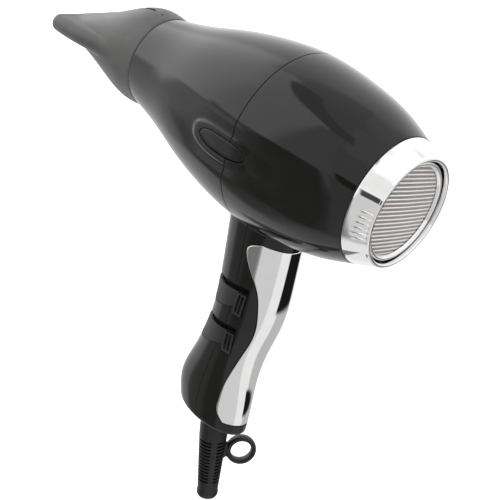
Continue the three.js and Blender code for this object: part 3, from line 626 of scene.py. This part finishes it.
def surface_below_barrel(turns):
    """The height at which the barrel's underside meets each line of the handle's side."""
    z = np.full(len(turns), -44.0)
    for _ in range(6):
        x, y = handle_ring(z, 0, turns)
        z = -np.sqrt(np.maximum(barrel_radius(x) ** 2 - y ** 2, 0))
    return z


def seam_edge(turns, side):
    """How far each point is drawn in by the rounded edge at the handle's side seam."""
    from_seam = np.minimum(np.abs(turns - turns[0]), np.abs(turns - turns[-1])) * 16
    near = np.clip(1 - from_seam / 0.3, 0, 1)
    return 0.3 * (1 - np.sqrt(1 - near ** 2 * 0.999))


def half_turns(side):
    """Angles of one half of the handle, in front (side -1) or behind (side 1), edge to edge."""
    edge = np.array([0, 0.25, 0.6, 1.0, 1.4])
    middle = np.linspace(3.2, 176.8, 56)
    half = np.concatenate([edge, middle, 180 - edge[::-1]])
    start = 90 if side < 0 else -90
    return np.radians(half + start)


def handle_half(name, side):
    """One half of the handle as a closed C-shaped shell with a floor round the cord sleeve."""
    turns = half_turns(side)
    tuck = seam_edge(turns, side)
    meet = surface_below_barrel(turns)
    clear = side * GAP / 2
    rows = []

    def add(z, out, wall=HANDLE_WALL, tucked=1.0):
        z = np.broadcast_to(z, turns.shape)
        x, y = handle_ring(z, out - tuck * tucked, turns)
        xi, yi = handle_ring(z, np.minimum(out, 0) - wall, turns)
        rows.append((x, y, z, xi, yi, z))

    add(HANDLE_TOP, 0)
    add(meet + 0.6, 0)
    add(meet - 0.12, 0)
    add(meet - 0.14, NECK_FILLET * 0.9)
    for angle in (12, 30, 50, 70, 90):
        out = NECK_FILLET * (1 - math.sin(math.radians(angle)))
        down = NECK_FILLET * (1 - math.cos(math.radians(angle)))
        add(meet - 0.2 - down, out)
    blend_z = -60.0
    for share in (0.12, 0.3, 0.5, 0.75):
        add(meet - 1.6 + (blend_z - meet + 1.6) * share, 0)
    straight = HANDLE_BOTTOM + BOTTOM_ROUND
    for z in np.linspace(blend_z, straight, 64):
        add(z, 0)
    for angle in (15, 30, 45, 60, 75, 90):
        inset = BOTTOM_ROUND * (1 - math.cos(math.radians(angle)))
        drop = BOTTOM_ROUND * math.sin(math.radians(angle))
        add(straight - drop, -inset, wall=HANDLE_WALL - inset * 0.5)
    # The floor closes in on a round hole for the sleeve.
    x, y, z = rows[-1][:3]
    hole = SLEEVE_RADIUS + 0.6
    edge_turn = math.acos(np.clip((handle_centre(HANDLE_BOTTOM) + clear - SLEEVE_TOP[0]) / hole, -1, 1))
    spread_from = np.pi if side < 0 else 0.0
    reach = np.pi - edge_turn if side < 0 else edge_turn
    hole_turns = spread_from + (turns - spread_from) * reach / (np.pi / 2)
    hole_x = SLEEVE_TOP[0] + hole * np.cos(hole_turns)
    hole_y = hole * np.sin(hole_turns)
    xi, yi = rows[-1][3:5]
    for share in (0.5, 1.0):
        floor = np.full(turns.shape, HANDLE_BOTTOM)
        rows.append((
            x + (hole_x - x) * share, y + (hole_y - y) * share, floor,
            xi + (hole_x - xi) * share, yi + (hole_y - yi) * share, floor + HANDLE_WALL,
        ))
    rings = []
    for x, y, z, xi, yi, zi in rows:
        outer = list(zip(x + clear, y, z))
        inner = list(zip(xi + clear, yi, zi))
        rings.append(outer + inner[::-1])
    count = len(turns)
    points = [p for ring in rings for p in ring]
    faces = ring_faces(len(rings), 2 * count)
    for base in (0, (len(rings) - 1) * 2 * count):
        for i in range(count - 1):
            faces.append((base + i, base + i + 1, base + 2 * count - 2 - i, base + 2 * count - 1 - i))
    return new_object(name, points, faces)


def clustered(length, edge, middle_step):
    """Positions along a length, fine within `edge` of both ends."""
    ends = np.array([0, 0.04, 0.15, 0.35, 0.65, 1.0]) * edge
    count = max(2, int(round((length - 2 * edge) / middle_step)))
    middle = np.linspace(edge, length - edge, count + 1)[1:-1]
    return np.concatenate([ends, middle, (length - ends)[::-1]])


def patch(name, place, u_length, v_length, inner, outer, edge=0.4, steps=(0.8, 1.2), detail=None):
    """A closed curved plate on the handle's surface, with its outer rim rounded.

    place(u, v) gives the turn and height of a point, for u and v from 0 to 1. The plate lies
    between `inner` and `outer` off the surface; detail(u, v) lowers its face where it is asked.
    """
    u = clustered(u_length, edge, steps[0]) / u_length
    v = clustered(v_length, edge, steps[1]) / v_length
    grid_u, grid_v = np.meshgrid(u, v)
    turns, z = place(grid_u, grid_v)
    to_rim = np.minimum(np.minimum(grid_u, 1 - grid_u) * u_length,
                        np.minimum(grid_v, 1 - grid_v) * v_length)
    near = np.clip(1 - to_rim / edge, 0, 1)
    out = outer - edge * (1 - np.sqrt(1 - near ** 2))
    if detail is not None:
        out = out - detail(grid_u * u_length, grid_v * v_length)
    layers = []
    for offset in (out, np.full(out.shape, inner)):
        x, y = handle_ring(z, offset, turns)
        layers.append(np.stack([x, y, z], axis=-1).reshape(-1, 3))
    rows, columns = grid_u.shape
    size = rows * columns
    faces = []
    for row in range(rows - 1):
        for column in range(columns - 1):
            a = row * columns + column
            quad = (a, a + 1, a + columns + 1, a + columns)
            faces.append(quad)
            faces.append(tuple(size + i for i in reversed(quad)))
    rim = [*range(columns)]
    rim += [row * columns + columns - 1 for row in range(1, rows)]
    rim += [(rows - 1) * columns + c for c in range(columns - 2, -1, -1)]
    rim += [row * columns for row in range(rows - 2, 0, -1)]
    for i, a in enumerate(rim):
        b = rim[(i + 1) % len(rim)]
        faces.append((a, b, size + b, size + a))
    return new_object(name, np.concatenate(layers), faces)


def turn_at(x, z):
    """The turn round the handle's section at which its surface reaches x."""
    return np.arccos(np.clip((x - handle_centre(z)) / handle_depth(z), -1, 1))


def pad_place(top, grow, lift):
    """Where a switch's pad lies: round the handle's front, from one side to the other."""
    seam = handle_centre(top)
    end = seam + WING_START + 0.6

    def place(u, v):
        z = top - PAD_HEIGHT / 2 + 0 * u
        for _ in range(5):
            start = turn_at(end, z)
            turns = start + (2 * np.pi - 2 * start) * u
            x = handle_centre(z) + handle_depth(z) * np.cos(turns)
            reach = x - seam + PAD_FRONT
            high = top + PAD_TOP_SLOPE * reach + grow + lift
            low = top - PAD_HEIGHT + PAD_BOTTOM_SLOPE * reach - grow
            z = low + (high - low) * v
        return turns, z

    return place


def wing_place(top, grow, lift, side):
    """Where a switch's grip wing lies, behind its pad on one side of the handle."""
    seam = handle_centre(top)
    start = seam + WING_START - grow
    end = seam + WING_END + grow
    high = top + WING_LIFT + grow + lift
    low = top + WING_LIFT - WING_HEIGHT - grow

    def place(u, v):
        z = low + (high - low) * v
        turns = turn_at(start + (end - start) * u, z)
        return side * turns, z

    return place


def inlay_place(grow):
    """Where the chrome inlay lies: round the handle's back between its two front edges."""
    top = INLAY_EDGE[0][0] + grow
    bottom = INLAY_EDGE[-1][0] - grow

    def place(u, v):
        z = bottom + (top - bottom) * v
        edge = inlay_edge(np.clip(z, INLAY_EDGE[-1][0], INLAY_EDGE[0][0])) - grow
        reach = turn_at(edge, z)
        return -reach + 2 * reach * u, z

    return place


WING_WIDTH = WING_END - WING_START


def wing_detail(u, v):
    """Two grooves between three upright ribs, and a fine lip at the wing's top."""
    ridge = 1.15 * (1 - smoothstep(0.2, 0.62, np.abs(u - 0.34 * WING_WIDTH)))
    ridge = ridge + 1.15 * (1 - smoothstep(0.2, 0.62, np.abs(u - 0.72 * WING_WIDTH)))
    ends = smoothstep(0.5, 1.6, v) * (1 - smoothstep(WING_HEIGHT - 1.1, WING_HEIGHT - 0.5, v))
    slope = 0.5 * (1 - smoothstep(0, 4, v))
    return ridge * ends + slope


def build_switch(name, top):
    pad = patch(f"{name}_slider_body", pad_place(top, 0, 0), 50, PAD_HEIGHT, -1.2, 0.3, edge=0.35)
    wings = [
        patch(f"{name}_wing_{side}", wing_place(top, 0, 0, side), WING_WIDTH, WING_HEIGHT,
              -1.2, 1.6, edge=0.45, steps=(0.14, 0.4), detail=wing_detail)
        for side in (-1, 1)
    ]
    front = handle_centre(top) - handle_depth(top)
    stem_low = top - 9
    stem = prism(f"{name}_stem", [(front + 0.6, stem_low), (front + 7, stem_low),
                                  (front + 7, stem_low + 5), (front + 0.6, stem_low + 5)], -2.8, 2.8)
    boolean(pad, wings + [stem], "UNION")
    finish_piece(pad, MATTE_BLACK, f"{name}_switch", [f"{name}_switch_slider"], sharp=40)


def matt_and_shade_recesses(shell):
    """The moulded floor and walls of the switch recesses are matt, not polished, and carry painted shade: a darker
    colour and weaker specular than the gloss black.
    """
    shell.data.materials.append(MATT_SHADED_RECESS)
    to_millimetres = BARREL_FRAME.inverted()
    for polygon in shell.data.polygons:
        x, y, z = to_millimetres @ polygon.center
        across = math.hypot((x - handle_centre(z)) / handle_depth(z), y / handle_width(z))
        depth = (1 - across) * handle_width(z)
        beside_switch = any(top - PAD_HEIGHT - 2 < z < top + 12 for top in SWITCH_TOPS.values())
        # Faces inside the recesses get the matt material with painted shade.
        if beside_switch and 0.3 < depth < RECESS_DEPTH + 0.3:
            polygon.material_index = 1


def build_handle():
    recess = {"outer": 4.0, "inner": -RECESS_DEPTH, "edge": 0.3}
    for side, label in ((-1, "front"), (1, "rear")):
        shell = handle_half(f"handle_{label}_skin", side)
        cutters = []
        for name, top in SWITCH_TOPS.items():
            cutters.append(patch(f"{name}_pad_cut", pad_place(top, GAP, SWITCH_TRAVEL), 50,
                                 PAD_HEIGHT + SWITCH_TRAVEL, recess["inner"], recess["outer"],
                                 steps=(1.2, 1.6)))
            for wing_side in (-1, 1):
                cutters.append(patch(f"{name}_wing_cut_{wing_side}",
                                     wing_place(top, GAP, SWITCH_TRAVEL, wing_side),
                                     WING_WIDTH, WING_HEIGHT + SWITCH_TRAVEL,
                                     recess["inner"], recess["outer"], steps=(1, 2)))
            if side < 0:
                low = top - 9 - GAP
                high = top - 4 + SWITCH_TRAVEL + GAP
                slot = [(-30, low), (-6, low), (-6, high), (-30, high)]
                cutters.append(prism(f"{name}_stem_cut", slot, -3.3, 3.3))
        if side > 0:
            cutters.append(patch("inlay_cut", inlay_place(GAP), 46, 108.5, -INLAY_THICK - GAP, 4.0,
                                 steps=(1.0, 1.0)))
        boolean(shell, cutters)
        finish_piece(shell, GLOSS_BLACK, "casing", [f"handle_{label}_shell"], sharp=38)
        matt_and_shade_recesses(shell)
    inlay = patch("chrome_inlay", inlay_place(0), 46, 108.5, -INLAY_THICK, 0.12, edge=0.5,
                  steps=(0.7, 0.8))
    finish_piece(inlay, MIRROR_CHROME, "casing", ["grip_inlay"], sharp=50)


# ------------------------------------------------------------------ cord sleeve

SLEEVE_FRAME = BARREL_FRAME @ Matrix.Translation(SLEEVE_TOP) @ Matrix.Rotation(-SLEEVE_TILT, 4, "Y")
SLOT_HALF_HEIGHT = 0.52
SLOT_DEPTH = 1.9
SPINE_HALF_ANGLE = 13.0


def sleeve_radius(radius, z, turns):
    """The sleeve's outside, with rows of slots between four plain spines."""
    row = round((FIRST_SLOT - z) / SLOT_PITCH)
    if radius <= CORD_BORE or not 0 <= row < SLOT_ROWS:
        return np.full(len(turns), radius)
    up = abs(z - (FIRST_SLOT - row * SLOT_PITCH)) / SLOT_HALF_HEIGHT
    degrees = np.degrees(turns - LOOP_TURN) % 90
    from_spine = np.minimum(degrees, 90 - degrees)
    stretch = (from_spine - SPINE_HALF_ANGLE) / 4.0
    end = np.clip(1 - stretch, 0, 1)
    inside = up ** 2 + end ** 2
    depth = SLOT_DEPTH * (1 - smoothstep(0.75, 1.15, inside)) * (stretch > 0)
    return radius - depth


def build_sleeve():
    taper = linear([(-12, SLEEVE_RADIUS), (-46.5, 5.9), (-48.5, 6.1), (-50, 6.1), (-51.5, 5.2)])
    profile = [(CORD_BORE, 9), (9.9, 9), (10.2, 8.7), (10.2, 5.9), (9.9, 5.6), (SLEEVE_RADIUS, 5.6)]
    heights = [0.0, -5.0, -8.5, -12.0]
    for row in range(SLOT_ROWS):
        middle = FIRST_SLOT - row * SLOT_PITCH
        for share in (1.35, 1.1, 0.98, 0.85, 0.5, 0, -0.5, -0.85, -0.98, -1.1, -1.35):
            heights.append(middle + share * SLOT_HALF_HEIGHT)
    heights += [-45.5, -46.5, -47.2, -48.0, -48.6, -49.4, -50.2, -50.9, -51.3, -51.5]
    profile += [(float(taper(z)), z) for z in heights]
    profile += [(CORD_BORE + 0.5, -SLEEVE_LENGTH), (CORD_BORE, -SLEEVE_LENGTH + 0.5)]
    sleeve = lathe_upright("cord_sleeve_skin", profile, 180, SLEEVE_FRAME, sleeve_radius)
    boolean(sleeve, [hang_loop()], "UNION")
    finish_piece(sleeve, SOFT_BLACK, "cord_sleeve", ["strain_relief"], sharp=45)


def hang_loop():
    """The ring, its web and a collar, melted into one rounded shape by a voxel remesh."""
    placed = SLEEVE_FRAME @ Matrix.Rotation(LOOP_TURN, 4, "Z")
    rings = []
    for turn in np.linspace(0, 2 * np.pi, 72, endpoint=False):
        ring = []
        for around in np.linspace(0, 2 * np.pi, 24, endpoint=False):
            c, s = math.cos(around), math.sin(around)
            radial = LOOP_RADIUS + 1.5 * math.copysign(abs(c) ** 0.75, c)
            across = 2.9 * math.copysign(abs(s) ** 0.75, s)
            ring.append((LOOP_OUT + radial * math.cos(turn), across, -LOOP_DOWN + radial * math.sin(turn)))
        rings.append(ring)
    loop = tube("hang_loop", rings, closed=True, matrix=placed)
    web_rings = []
    for x, high, wide in ((5.0, 7.2, 3.4), (6.6, 6.4, 3.0), (7.8, 5.0, 2.3), (8.8, 4.5, 2.1), (10.2, 5.0, 2.4)):
        web_rings.append([
            (x, wide * math.cos(t), -LOOP_DOWN + high * math.sin(t))
            for t in np.linspace(0, 2 * np.pi, 32, endpoint=False)
        ])
    web = tube("web", web_rings, matrix=placed)
    inner = SLEEVE_RADIUS - 1.9
    collar_rings = [
        [(inner * math.cos(t), inner * math.sin(t), z) for t in np.linspace(0, 2 * np.pi, 48, endpoint=False)]
        for z in (-LOOP_DOWN - 8, -LOOP_DOWN + 8)
    ]
    collar = tube("collar", collar_rings, matrix=placed)
    boolean(loop, [web, collar], "UNION")
    melt = loop.modifiers.new("melt", "REMESH")
    melt.mode = "VOXEL"
    melt.voxel_size = 0.36 * MM
    melt.use_smooth_shade = True
    relax = loop.modifiers.new("relax", "SMOOTH")
    relax.factor = 0.6
    relax.iterations = 10
    apply_modifiers(loop)
    # The collar has done its work: cut it away again, so that only the loop is joined on.
    core_rings = [
        [(5.2 * math.cos(t), 5.2 * math.sin(t), z) for t in np.linspace(0, 2 * np.pi, 48, endpoint=False)]
        for z in (-LOOP_DOWN - 12, -LOOP_DOWN + 12)
    ]
    return boolean(loop, [tube("core", core_rings, matrix=placed)])


# ------------------------------------------------------------------ intake ring, bezel and mesh

TEETH = [7.0, 1.8, -3.4, -8.6, -13.8, -19.0]
TOOTH_HEIGHT = 0.68
TOOTH_HALF_ANGLE = 1.2
MESH_RADIUS = 23.3
MESH_X = 70.6
MESH_DOME = 0.7
WEAVE_DEPTH = 0.06
MESH_TURN = math.radians(-7)


def tooth_lift(x, angle):
    """How far the ring's grip teeth rise; angle is in degrees up from the horizontal."""
    ramp = smoothstep(64.5, 72.3, x) ** 2.6 * (1 - smoothstep(72.7, 73.4, x))
    lift = np.zeros_like(angle)
    for middle in TEETH:
        lift = np.maximum(lift, 1 - smoothstep(0.35, 1.0, np.abs(angle - middle) / TOOTH_HALF_ANGLE))
    return TOOTH_HEIGHT * ramp * lift


def ring_shape(index, x, y, z):
    radius = np.hypot(y, z)
    angle = np.degrees(np.arctan2(z, np.abs(y)))
    outside = radius > 27.2
    grown = radius + np.where(outside, tooth_lift(x, angle), 0)
    return y * grown / radius, z * grown / radius


def build_ring():
    cone = spline([(RING_X, 32.2), (66.5, 30.85), (70, 29.35), (73.2, 27.85)])
    profile = [(RING_X, 29.3), (RING_X, 31.9), (RING_X + 0.1, 32.12)]
    profile += [(x, float(cone(x))) for x in np.arange(RING_X + 0.3, 72, 0.6)]
    profile += [(x, float(cone(x))) for x in (72.2, 72.5, 72.8, 73.0, 73.2)]
    lip_x = RING_REAR - 1.05
    profile += [(x, r) for x, r in arc((lip_x, 26.75), 1.05, 62, -90, 12)]
    profile += [(73.0, 25.72), (66, 25.7), (66, 28), (57.5, 28), (57.5, 29.3)]
    fine = np.arange(-26, 14, 0.42)
    coarse = np.arange(14, 154, 2.5)
    right = 90 - fine
    left = 270 + fine
    turns = np.radians(np.sort(np.concatenate([right, left, 90 - coarse, 270 + coarse[:0]]) % 360))
    rest = np.radians(np.arange(0, 360, 2.5))
    keep = [t for t in rest if np.min(np.abs(turns - t)) > np.radians(1.2)]
    turns = np.sort(np.concatenate([turns, keep]))
    ring = lathe("chrome_ring", profile, turns, shape=ring_shape)
    finish_piece(ring, MIRROR_CHROME, "intake_ring", ["intake_ring"], sharp=42)


def build_bezel():
    profile = [(69.6, 23.9), (69.6, 24.9), (71.7, 24.92)]
    profile += arc((71.8, 23.92), 1.0, 80, -50, 12)
    profile += [(72.0, 22.9), (71.7, 22.6), (71.3, 22.5), (71.2, 23.9)]
    bezel = lathe("bezel", profile, 180)
    finish_piece(bezel, MIRROR_CHROME, "filter", ["filter_carrier"], sharp=45)
    profile = [(57, 23.9), (57, 25.4), (69.7, 25.4), (70, 25.2), (70, 24.8), (69.4, 24.65), (69.4, 23.9)]
    seat = lathe("bezel_seat", profile, 180)
    finish_piece(seat, MATTE_BLACK, "filter", [], sharp=45)


def wire(axis, at, weave_pitch, phase, radius, sides=8):
    """One wire of the mesh, waving over and under the wires that it crosses."""
    reach = math.sqrt(MESH_RADIUS ** 2 - at ** 2)
    steps = max(4, int(2 * reach / weave_pitch * 5))
    rings = []
    for t in np.linspace(-reach, reach, steps + 1):
        dome = MESH_DOME * (1 - (t * t + at * at) / MESH_RADIUS ** 2)
        behind = 0.05 if axis == "z" else 0.0
        x = MESH_X + dome - behind + WEAVE_DEPTH * phase * math.cos(math.pi * t / weave_pitch)
        ring = []
        for turn in np.linspace(0, 2 * np.pi, sides, endpoint=False):
            across = at + radius * math.cos(turn)
            deep = x + radius * math.sin(turn)
            ring.append((deep, t, across) if axis == "y" else (deep, across, t))
        rings.append(ring)
    return rings


def build_mesh():
    """A plain weave: wires across at one pitch and upright wires at another."""
    row_pitch, column_pitch = 2.0, 1.75
    points = []
    faces = []
    rows = int(MESH_RADIUS / row_pitch)
    columns = int(MESH_RADIUS / column_pitch)
    wires = [("y", i * row_pitch, column_pitch, 1 - 2 * (i % 2), 0.29) for i in range(-rows, rows + 1)]
    wires += [("z", i * column_pitch, row_pitch, 2 * (i % 2) - 1, 0.2) for i in range(-columns, columns + 1)]
    for wire_spec in wires:
        rings = wire(*wire_spec)
        base = len(points)
        count = len(rings[0])
        points += [p for ring in rings for p in ring]
        faces += [tuple(base + i for i in face) for face in ring_faces(len(rings), count)]
        faces.append(tuple(base + i for i in range(count)))
        faces.append(tuple(base + (len(rings) - 1) * count + i for i in range(count)))
    mesh = new_object("woven_mesh", points, faces, BARREL_FRAME @ Matrix.Rotation(MESH_TURN, 4, "X"))
    finish_piece(mesh, MESH_STEEL, "filter", ["filter_mesh"], sharp=60)


# ------------------------------------------------------------------ nozzle and outlet


def stadium_reach(cosine, sine, half_width, half_height):
    """How far a ray from the centre goes to the edge of a slot shape with round ends."""
    c = np.abs(cosine)
    s = np.maximum(np.abs(sine), 1e-9)
    middle = half_width - half_height
    flat = half_height / s
    in_end = c * flat > middle
    round_end = c * middle + np.sqrt(np.maximum(c * c * middle ** 2 - middle ** 2 + half_height ** 2, 0))
    return np.where(in_end, round_end, flat)


def nozzle_row(x, turns, shrink=0.0):
    """One section of the nozzle: its cone and its bill, blended."""
    cosine, sine = np.cos(turns), np.sin(turns)
    cone = 1 / np.sqrt((cosine / (nozzle_width(x) - shrink)) ** 2
                       + (sine / (nozzle_height(x) - shrink)) ** 2)
    bill = stadium_reach(cosine, sine, bill_width(x) - shrink, bill_height(x) - shrink)
    top = np.maximum(cone, bill)
    reach = top * ((cone / top) ** BILL_BLEND + (bill / top) ** BILL_BLEND) ** (1 / BILL_BLEND)
    return reach * cosine, reach * sine


def build_nozzle():
    even = np.linspace(0, 2 * np.pi, 224, endpoint=False)
    turns = np.arctan2(0.3 * np.sin(even), np.cos(even))
    rear = JOINT_X - GAP
    rings = []

    def add(x, y, z):
        rings.append(list(zip(np.full(len(turns), x), y, z)))

    for angle in (0, 30, 60, 90):
        inset = 0.5 * (1 - math.sin(math.radians(angle)))
        x = rear - 0.5 * (1 - math.cos(math.radians(angle)))
        add(x, *nozzle_row(x, turns, inset))
    for x in [*np.arange(-96, -154, -1.0), *np.linspace(-154, -157.2, 9)]:
        add(x, *nozzle_row(x, turns))
    slot_width, slot_height = 26.4, 3.0
    for share in (0.0, 0.15, 0.4, 0.75, 1.0):
        x = -157.2 - 0.8 * math.sin(share * math.pi / 2)
        y, z = nozzle_row(x, turns)
        reach = stadium_reach(np.cos(turns), np.sin(turns), slot_width, slot_height)
        pull = 0.55 * (1 - math.cos(share * math.pi / 2))
        add(x, y + (reach * np.cos(turns) - y) * pull, z + (reach * np.sin(turns) - z) * pull)
    for x, width, height in ((-157.6, 26.4, 3.0), (-156.5, 26.8, 3.1), (-152, 28.0, 3.25), (-146, 28.0, 3.3)):
        reach = stadium_reach(np.cos(turns), np.sin(turns), width, height)
        add(x, reach * np.cos(turns), reach * np.sin(turns))
    for x in np.linspace(-138, -112, 10):
        add(x, *nozzle_row(x, turns, 1.75))
    for x in (-109.2, -109.0, rear - 0.3):
        add(x, 24.0 * np.cos(turns), 24.0 * np.sin(turns))
    nozzle = tube("nozzle_shell", rings, closed=True)
    boolean(nozzle, [nozzle_slot(), nozzle_notch()])
    finish_piece(nozzle, SATIN_GREY, "nozzle", ["nozzle"], sharp=45)


def nozzle_slot():
    """The narrow slot on the nozzle's top, close to its joint."""
    turn = math.radians(11)
    outline = [(-106.0, 0.95), (-112.4, 0.95), (-113.2, 0.5), (-113.2, -0.5), (-112.4, -0.95),
               (-106.0, -0.95), (-105.2, -0.5), (-105.2, 0.5)]
    place = BARREL_FRAME @ Matrix.Rotation(turn, 4, "X")
    rings = [[(x, y, z) for x, y in outline] for z in (23.7, 30.0)]
    return tube("nozzle_slot", rings, matrix=place)


def nozzle_notch():
    """A small index notch at the joint, in line with the slot."""
    place = BARREL_FRAME @ Matrix.Rotation(math.radians(11), 4, "X")
    rings = [[(x, y, z) for x, y in ((-99.4, 0.5), (-100.4, 0.5), (-100.4, -0.5), (-99.4, -0.5))]
             for z in (25.2, 30.0)]
    return tube("nozzle_notch", rings, matrix=place)


def build_outlet():
    ring = lathe("clip_ring", [(-106, 22.5), (-106, 23.3), (-105.8, 23.5), (-95.2, 23.5),
                               (-95, 23.3), (-95, 22.5)], 120)
    finish_piece(ring, MATTE_BLACK, "nozzle_clip", ["nozzle_clip_ring"], sharp=45)
    grille = lathe("grille", [(-106.4, 18.8), (-106.4, 20.2), (-104.4, 20.3), (-104.4, 18.8)], 96)
    parts = []
    for outer, inner in ((13.4, 12.2), (7.0, 5.8)):
        parts.append(lathe("grille_ring", [(-106.4, inner), (-106.4, outer), (-104.4, outer), (-104.4, inner)], 64))
    for i in range(3):
        turn = Matrix.Rotation(math.radians(60 * i), 4, "X")
        rings = [[(x, y, z) for x, z in ((-106.2, -0.6), (-104.6, -0.6), (-104.6, 0.6), (-106.2, 0.6))]
                 for y in (-19.4, 19.4)]
        parts.append(tube("grille_bar", rings, matrix=BARREL_FRAME @ turn))
    boolean(grille, parts, "UNION")
    finish_piece(grille, BRIGHT_STEEL, "casing", ["outlet_grille"], sharp=35)


# ------------------------------------------------------------------ stage, light and camera


def dress_cad_nodes():
    """Every CAD node that still shows gets the material of its slot in the record."""
    slots = {}
    for part in frame["record"]["subparts"]:
        slots[part["node"]] = part.get("material_slot") or part.get("material")
    for name, obj in frame["nodes"].items():
        material = BY_SLOT.get(slots.get(name), GREY_PLASTIC)
        obj.data.materials.clear()
        obj.data.materials.append(material)


SURROUNDINGS = [
    # azimuth from, to, elevation from, to, softness in degrees, brightness
    (-180, 180, 70, 92, 5, 0.95),
    (-75, 95, 55, 80, 8, 1.15),
    (95, 215, 0, 58, 8, 1.4),
    (-185, -106, 0, 61, 4, 1.9),
    (-200, -158, 0, 42, 12, 2.25),
    (-108, -84, 0, 56, 6, 1.0),
    (-80, -62, 24, 48, 3, 0.9),
    (-176, -72, 62, 70, 2, 0.6),
    (-145, -106, -3, 7, 4, 0.78),
    (-180, 180, -92, -66, 8, 0.85),
    (-150, -70, -60, -14, 14, 0.36),
    (-160, -128, -18, -4, 8, 1.05),
    (-80, -24, -62, 8, 4, 0.66),
    (-20, 24, -62, -4, 6, 0.88),
    (26, 92, -60, -28, 6, 0.52),
    (16, 84, -26, -12, 3, 0.01),
    (-112, -90, -57, 0, 9, 0.18),
    (-77, -62, 11, 18, 2, 0.06),
    (130, 160, -88, -60, 5, 0.2),
]
BASE_BRIGHTNESS = 0.95


def build_world():
    """A studio of soft white panels and dark flags, laid out by direction."""
    world = bpy.data.worlds.new("studio")
    bpy.context.scene.world = world
    world.use_nodes = True
    nodes, links = world.node_tree.nodes, world.node_tree.links
    coords = nodes.new("ShaderNodeTexCoord")
    split = nodes.new("ShaderNodeSeparateXYZ")
    links.new(coords.outputs["Generated"], split.inputs["Vector"])

    def math_node(operation, a, b=None):
        node = nodes.new("ShaderNodeMath")
        node.operation = operation
        for socket, value in ((0, a), (1, b)):
            if value is None:
                continue
            if isinstance(value, (int, float)):
                node.inputs[socket].default_value = value
            else:
                links.new(value, node.inputs[socket])
        return node.outputs[0]

    def band(value, low, high, soft):
        """1 between low and high, falling smoothly to 0 over `soft` outside them."""
        edges = []
        for start, end in ((low - soft, low), (high + soft, high)):
            step = nodes.new("ShaderNodeMapRange")
            step.interpolation_type = "SMOOTHSTEP"
            step.inputs["From Min"].default_value = min(start, end)
            step.inputs["From Max"].default_value = max(start, end)
            if start > end:
                step.inputs["To Min"].default_value = 1.0
                step.inputs["To Max"].default_value = 0.0
            links.new(value, step.inputs["Value"])
            edges.append(step.outputs["Result"])
        return math_node("MULTIPLY", *edges)

    to_degrees = 180 / math.pi
    azimuth = math_node("MULTIPLY", math_node("ARCTAN2", split.outputs["Y"], split.outputs["X"]), to_degrees)
    elevation = math_node("MULTIPLY", math_node("ARCSINE", split.outputs["Z"]), to_degrees)
    brightness = BASE_BRIGHTNESS
    for az_from, az_to, el_from, el_to, soft, level in SURROUNDINGS:
        middle = (az_from + az_to) / 2
        # The difference to the panel's middle, wrapped into -180 to 180.
        shifted = math_node("ADD", azimuth, 540 - middle)
        wrapped = math_node("SUBTRACT", math_node("MODULO", shifted, 360), 180)
        half = (az_to - az_from) / 2
        mask = band(elevation, el_from, el_to, soft)
        if half < 180:
            mask = math_node("MULTIPLY", mask, band(wrapped, -half, half, soft))
        mix = nodes.new("ShaderNodeMix")
        mix.data_type = "FLOAT"
        links.new(mask, mix.inputs[0])
        if isinstance(brightness, float):
            mix.inputs[2].default_value = brightness
        else:
            links.new(brightness, mix.inputs[2])
        mix.inputs[3].default_value = level
        brightness = mix.outputs[0]
    background = nodes["Background"]
    links.new(brightness, background.inputs["Strength"])
    background.inputs["Color"].default_value = (1, 1, 1, 1)
    plain = nodes.new("ShaderNodeBackground")
    plain.inputs["Strength"].default_value = 1.0
    path = nodes.new("ShaderNodeLightPath")
    choose = nodes.new("ShaderNodeMixShader")
    links.new(path.outputs["Is Camera Ray"], choose.inputs["Fac"])
    links.new(background.outputs["Background"], choose.inputs[1])
    links.new(plain.outputs["Background"], choose.inputs[2])
    links.new(choose.outputs["Shader"], nodes["World Output"].inputs["Surface"])


def build_stage():
    drop = 0.3
    half = 6.0
    z = cad_box[0][2] - drop
    floor = new_object("floor", [(-half, -half, z), (half, -half, z), (half, half, z), (-half, half, z)],
                       [(0, 1, 2, 3)], Matrix.Identity(4))
    material, nodes, links, shader = node_material("floor_white")
    shader.inputs["Roughness"].default_value = 0.9
    shader.inputs["Base Color"].default_value = (0.95, 0.95, 0.95, 1)
    shader.inputs["Emission Color"].default_value = (1, 1, 1, 1)
    shader.inputs["Emission Strength"].default_value = 0.35
    floor.data.materials.append(material)
    floor.visible_glossy = False
    key = bpy.data.lights.new("key", "AREA")
    key.size = 0.8
    key.energy = 3.0
    key_object = bpy.data.objects.new("key", key)
    key_object.location = (-0.4, -0.7, 0.9)
    key_object.rotation_euler = Vector((-0.4, -0.7, 0.9)).to_track_quat("Z", "Y").to_euler()
    key_object.visible_camera = False
    key_object.visible_glossy = False
    bpy.context.scene.collection.objects.link(key_object)
    bpy.context.scene.view_settings.view_transform = "Standard"


CAMERA_PLACE = Vector((265.3, -367.0, 269.2)) * MM
CAMERA_RIGHT = Vector((0.6867, 0.679, 0.2597))
CAMERA_UP = Vector((-0.4932, 0.1727, 0.8526))
CAMERA_LENS = 72.0


def build_camera():
    camera = bpy.data.cameras.new("camera")
    camera.lens = CAMERA_LENS
    camera.clip_start = 0.01
    obj = bpy.data.objects.new("camera", camera)
    back = CAMERA_RIGHT.cross(CAMERA_UP).normalized()
    up = back.cross(CAMERA_RIGHT).normalized()
    right = up.cross(back)
    place = Matrix((right, up, back)).transposed().to_4x4()
    place.translation = CAMERA_PLACE
    obj.matrix_world = place
    bpy.context.scene.collection.objects.link(obj)
    bpy.context.scene.camera = obj


build_camera()
build_world()
build_stage()
dress_cad_nodes()
build_barrel()
build_handle()
for switch_name, switch_top in SWITCH_TOPS.items():
    build_switch(switch_name, switch_top)
build_sleeve()
build_ring()
build_bezel()
build_mesh()
build_nozzle()
build_outlet()
